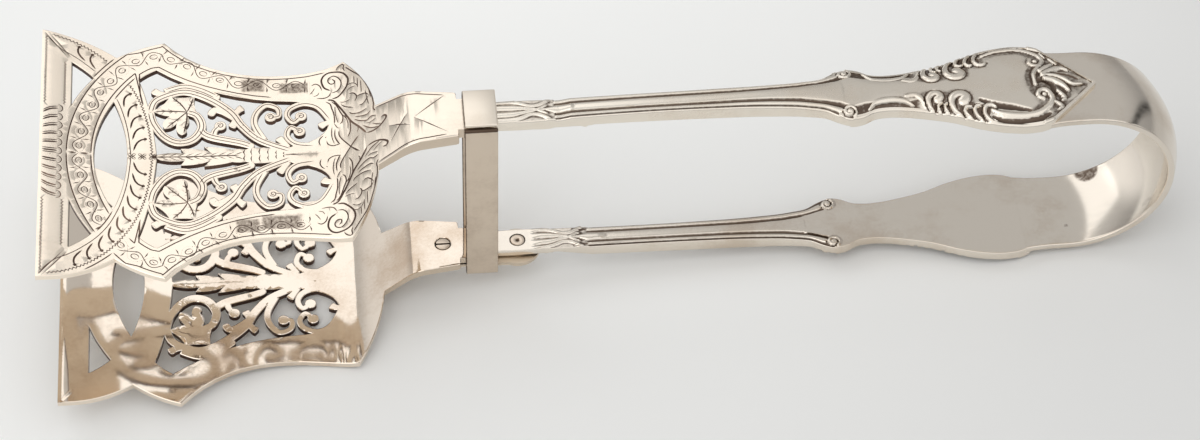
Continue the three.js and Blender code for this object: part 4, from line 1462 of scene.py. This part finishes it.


# A section in Y and Z drawn along X, with soft edges, painted shade with tarnish along the front end and a
# dark top where it has a seam
def extruded(name, section, finish, darkAbove):
    low, high, soft, ramp = collar["front"], collar["rear"], collar["soft"], collar["seamRamp"]
    mesh = prism([(low, y, z) for y, z in section], [(high, y, z) for y, z in section])
    bmesh.ops.recalc_face_normals(mesh, faces=mesh.faces)
    soften(mesh, mesh.edges[:], soft)
    for level in (darkAbove, darkAbove + ramp):
        geometry = mesh.verts[:] + mesh.edges[:] + mesh.faces[:]
        bmesh.ops.bisect_plane(mesh, geom=geometry, plane_co=(0, 0, level), plane_no=(0, 0, 1))
    bmesh.ops.triangulate(mesh, faces=[f for f in mesh.faces if len(f.verts) > 4])
    points, faces = taken(mesh)
    x, _, z = np.array(points).T
    # The front end's darkness is painted shade of the bore's edge, with tarnish
    hollow = np.maximum(np.clip((z - darkAbove) / ramp, 0, 1), np.clip((low + soft - x) / soft, 0, 0.9))
    return makePiece(name, points, faces, (finish,), None, hollow, sharp=40)


def buildCollar():
    inner = collar["bore"] / 2
    outer, top, floor = inner + collar["wall"], collar["frameTop"], collar["floor"]
    bottom, side = floor - collar["base"], [(outer, top), (inner, top), (inner, floor)]
    section = [(-outer, bottom), (outer, bottom)] + side + [(-y, z) for y, z in side[::-1]]
    body = extruded("collarFrame", section, "collarSilver", top - collar["seam"])
    dress(body, "lower_half", "collar_frame")
    wide, low, high = inner + collar["capOverlap"], collar["capUnderside"], collar["capTop"]
    section = [(-wide, low), (wide, low), (wide, high), (-wide, high)]
    cap = extruded("collarCap", section, "capSilver", high + collar["wall"])
    dress(cap, "lower_half", "collar_cap")


buildCollar()
print("collar built")

# Saddle plate under the collar's floor side, with its screw and pin
saddle = {
    "top": -21.7,
    "bottom": -22.6,
    "endRadius": 5.0,
    "frontRadius": 4.35,
    "soft": 0.2,
}


def buildSaddle():
    joint = math.asin(saddle["frontRadius"] / saddle["endRadius"])
    outline = arc((arm["pinX"], 0), saddle["endRadius"], math.pi + joint, 3 * math.pi - joint, 48)
    outline += arc((blade["screwX"], 0), saddle["frontRadius"], math.pi / 2, 3 * math.pi / 2, 28)
    mesh = prism(*([(x, y, saddle[level]) for x, y in outline] for level in ("bottom", "top")))
    soften(mesh, [e for f in mesh.faces if len(f.verts) > 4 for e in f.edges], saddle["soft"])
    points, faces = taken(mesh)
    piece = makePiece("saddlePlate", points, faces, ("saddleSilver",), None, np.zeros(len(points)), sharp=40)
    dress(piece, "lower_half", "saddle_plate")


buildSaddle()


# A round fastener about Z: its head drawn in plan with a slot or a dimple, then rings down its shaft
def fastener(name, node, x, head, profile):
    radius, sides, sink = profile[0][0], fasteners["sides"], fasteners[head + "Depth"]
    plan = Plan()
    plan.area(arc((0, 0), radius, 0, 2 * math.pi, sides)[:-1], "sheet")
    if head == "slot":
        half, ramp = fasteners["slotHalf"], fasteners["slotRamp"]
        for y in (half - ramp, ramp - half, half + ramp, -half - ramp):
            plan.line([(-radius * 1.2, y), (radius * 1.2, y)])
    else:
        for share in fasteners["dimpleRings"]:
            plan.line(arc((0, 0), fasteners["dimple"] * share, 0, 2 * math.pi, 20))
    top, triangles = plan.cut()
    away = np.hypot(top[:, 0], top[:, 1])
    if head == "slot":
        sunk = np.clip((half + 0.02 - np.abs(top[:, 1])) / ramp, 0, 1) * sink
    else:
        sunk = np.clip(1.2 - away / fasteners["dimple"], 0, 1) * sink
    points = [(x + a, b, -tongs["halfOpening"] - deep) for (a, b), deep in zip(top, sunk)]
    # Painted shade in the slot or dimple, darker where deeper
    hollow = list(np.clip(sunk / fasteners["recessShadeDepth"], 0, 1))
    edge = np.where(away > radius - 1e-3)[0]
    edge = edge[np.argsort(np.arctan2(top[edge, 1], top[edge, 0]))]
    faces, previous = triangles.tolist(), edge.tolist()
    for ringRadius, height, dark in profile[1:]:
        ring = list(range(len(points), len(points) + len(edge)))
        points += [(x + a, b, height) for a, b in top[edge] / away[edge, None] * ringRadius]
        hollow += [dark] * len(edge)
        for i in range(len(edge)):
            j = (i + 1) % len(edge)
            faces.append([previous[i], ring[i], ring[j], previous[j]])
        previous = ring
    faces.append(previous[::-1])
    piece = makePiece(name, points, faces, ("fastenerSilver",), None, hollow, sharp=40)
    dress(piece, "lower_half", node)


fasteners = {
    "sides": 48,
    "screwRadius": 1.6,
    "screwDepth": 0.9,
    "shaft": 1.0,
    "slotHalf": 0.2,
    "slotRamp": 0.03,
    "slotDepth": 0.35,
    "pinRadius": 1.55,
    "shoulder": -21.4,
    "dimple": 0.5,
    "dimpleRings": (0.25, 0.6, 1.0, 1.5),
    "dimpleDepth": 0.3,
    "recessShadeDepth": 0.2,
    "soft": 0.14,
}


def buildFasteners():
    face, s, shaft = -tongs["halfOpening"], fasteners["soft"], fasteners["shaft"]
    for name, node, x, head, radius, low in (
        ("bladeScrew", "blade_screw", blade["screwX"], "slot", fasteners["screwRadius"],
         face - fasteners["screwDepth"]),
        ("armPin", "arm_pin", arm["pinX"], "dimple", fasteners["pinRadius"], fasteners["shoulder"]),
    ):
        # Radius, height and darkness of each ring; the darkness down the head's side is painted shade of the
        # gap around the head
        profile = [(radius - s, face, 0), (radius - s * 0.3, face - s * 0.3, 0.2), (radius, face - s, 0.6),
                   (radius, low, 1), (shaft, low, 1), (shaft, saddle["bottom"], 0)]
        fastener(name, node, x, head, profile)


buildFasteners()
print("fasteners built")

# Studio: a pale floor under the tongs with painted shade across it, soft light from above and behind
studio = {
    "floorHalf": 3.0,
    "floorDrop": 0.0004,
    "floorPale": (0.98, 0.985, 0.97),
    "floorPaintedShade": (0.64, 0.635, 0.625),
    "paintedShadeReach": (-0.05, 0.5),
    "paintedCornerShadeReach": (0.07, 0.26),
    "paintedCornerShade": 0.6,
    "skyLow": 0.34,
    "skyBack": 0.22,
    "skyFront": 0.66,
    "skyLeft": 0.5,
    "darkCard": 0.95,
    "leftLamp": ((-0.18, 0.36, 0.45), (-0.18, 0.36, 0), (0.5, 0.4), 0.42),
    "keyLamp": ((-0.5, -0.5, 1.1), (0, 0, 0), (0.8, 0.8), 1.2),
}


def buildFloor():
    half, drop = studio["floorHalf"], studio["floorDrop"]
    mesh = bpy.data.meshes.new("floor")
    corners = [(-half, -half, -drop), (half, -half, -drop), (half, half, -drop), (-half, half, -drop)]
    mesh.from_pydata(corners, [], [(0, 1, 2, 3)])
    floor = bpy.data.objects.new("floor", mesh)
    bpy.context.scene.collection.objects.link(floor)
    material, f = newFinish("paperWithPaintedShade")
    x, y, _ = f.axes(f.add("ShaderNodeTexCoord", output=3))
    # Painted shade: the paper darkens away from a pale diagonal band and towards the +X +Y corner
    away = ((x + 0.13) * 0.75 - (y - 0.02) * 0.8).absolute()
    corner = f.band((x + y) * 0.7, *studio["paintedCornerShadeReach"]) * studio["paintedCornerShade"]
    paintedShade = (f.band(away, *studio["paintedShadeReach"]) + corner).clamped()
    colour = f.blendColours(paintedShade, studio["floorPale"], studio["floorPaintedShade"])
    f.surface({"Base Color": colour, "Roughness": 0.9})
    mesh.materials.append(material)


def buildWorld():
    world = bpy.data.worlds.new("studioSky")
    world.use_nodes = True
    world.node_tree.nodes.clear()
    f = Finish(world.node_tree)
    side, depth, up = f.axes(f.add("ShaderNodeTexCoord", output=0))
    front = f.band(depth * -1, -0.35, 0.25)
    level = studio["skyLow"] + f.band(up, 0.0, 0.6) * (studio["skyBack"] + front * studio["skyFront"])
    level = level + f.band(side * -1, 0.5, 0.8) * studio["skyLeft"]
    card = f.band(side, 0.8, 0.825) * (1 - f.band(side, 0.855, 0.875))
    sky = f.blendColours(level * (1 - card * studio["darkCard"]), (0, 0, 0), (1, 1, 1))
    background = f.add("ShaderNodeBackground", {}, {"Color": sky, "Strength": 1.0})
    f.add("ShaderNodeOutputWorld", {}, {"Surface": background})
    bpy.context.scene.world = world


def addLamp(name, where, aim, size, power):
    lamp = bpy.data.lights.new(name, "AREA")
    lamp.shape = "RECTANGLE"
    lamp.size, lamp.size_y = size
    lamp.energy = power
    holder = bpy.data.objects.new(name, lamp)
    bpy.context.scene.collection.objects.link(holder)
    towards = Vector(aim) - Vector(where)
    holder.location = where
    holder.rotation_euler = towards.to_track_quat("-Z", "Y").to_euler()


buildFloor()
buildWorld()
for lampName in ("leftLamp", "keyLamp"):
    addLamp(lampName, *studio[lampName])
print("studio built")

# Camera at the photograph's angle, worked out in the arms' frame
camera = {
    "elevation": math.radians(49.5),
    "swing": math.radians(7.05),
    "roll": math.radians(2.23),
    "focal": 3100,
    "imageWidth": 1200,
    "distance": 680.2,
    "target": (31.0, 0.5, -15.0),
    "sensor": 36.0,
}


def buildCamera():
    e, swing, roll = camera["elevation"], camera["swing"], camera["roll"]
    forward = Vector((math.sin(swing) * math.cos(e), math.cos(swing) * math.cos(e), -math.sin(e)))
    right = Vector((math.cos(swing), -math.sin(swing), 0))
    up = right.cross(forward)
    rolledRight = right * math.cos(roll) + up * math.sin(roll)
    rolledUp = up * math.cos(roll) - right * math.sin(roll)
    where = Vector(camera["target"]) - forward * camera["distance"]
    axes = turnToRow([rolledRight, rolledUp, -forward])
    data = bpy.data.cameras.new("photoCamera")
    data.sensor_width = camera["sensor"]
    data.lens = camera["focal"] * camera["sensor"] / camera["imageWidth"]
    holder = bpy.data.objects.new("photoCamera", data)
    holder.matrix_world = Matrix.Translation(place([where])[0]) @ Matrix(axes.T.tolist()).to_4x4()
    bpy.context.scene.collection.objects.link(holder)
    bpy.context.scene.camera = holder


buildCamera()
bpy.context.scene.view_settings.view_transform = "Standard"
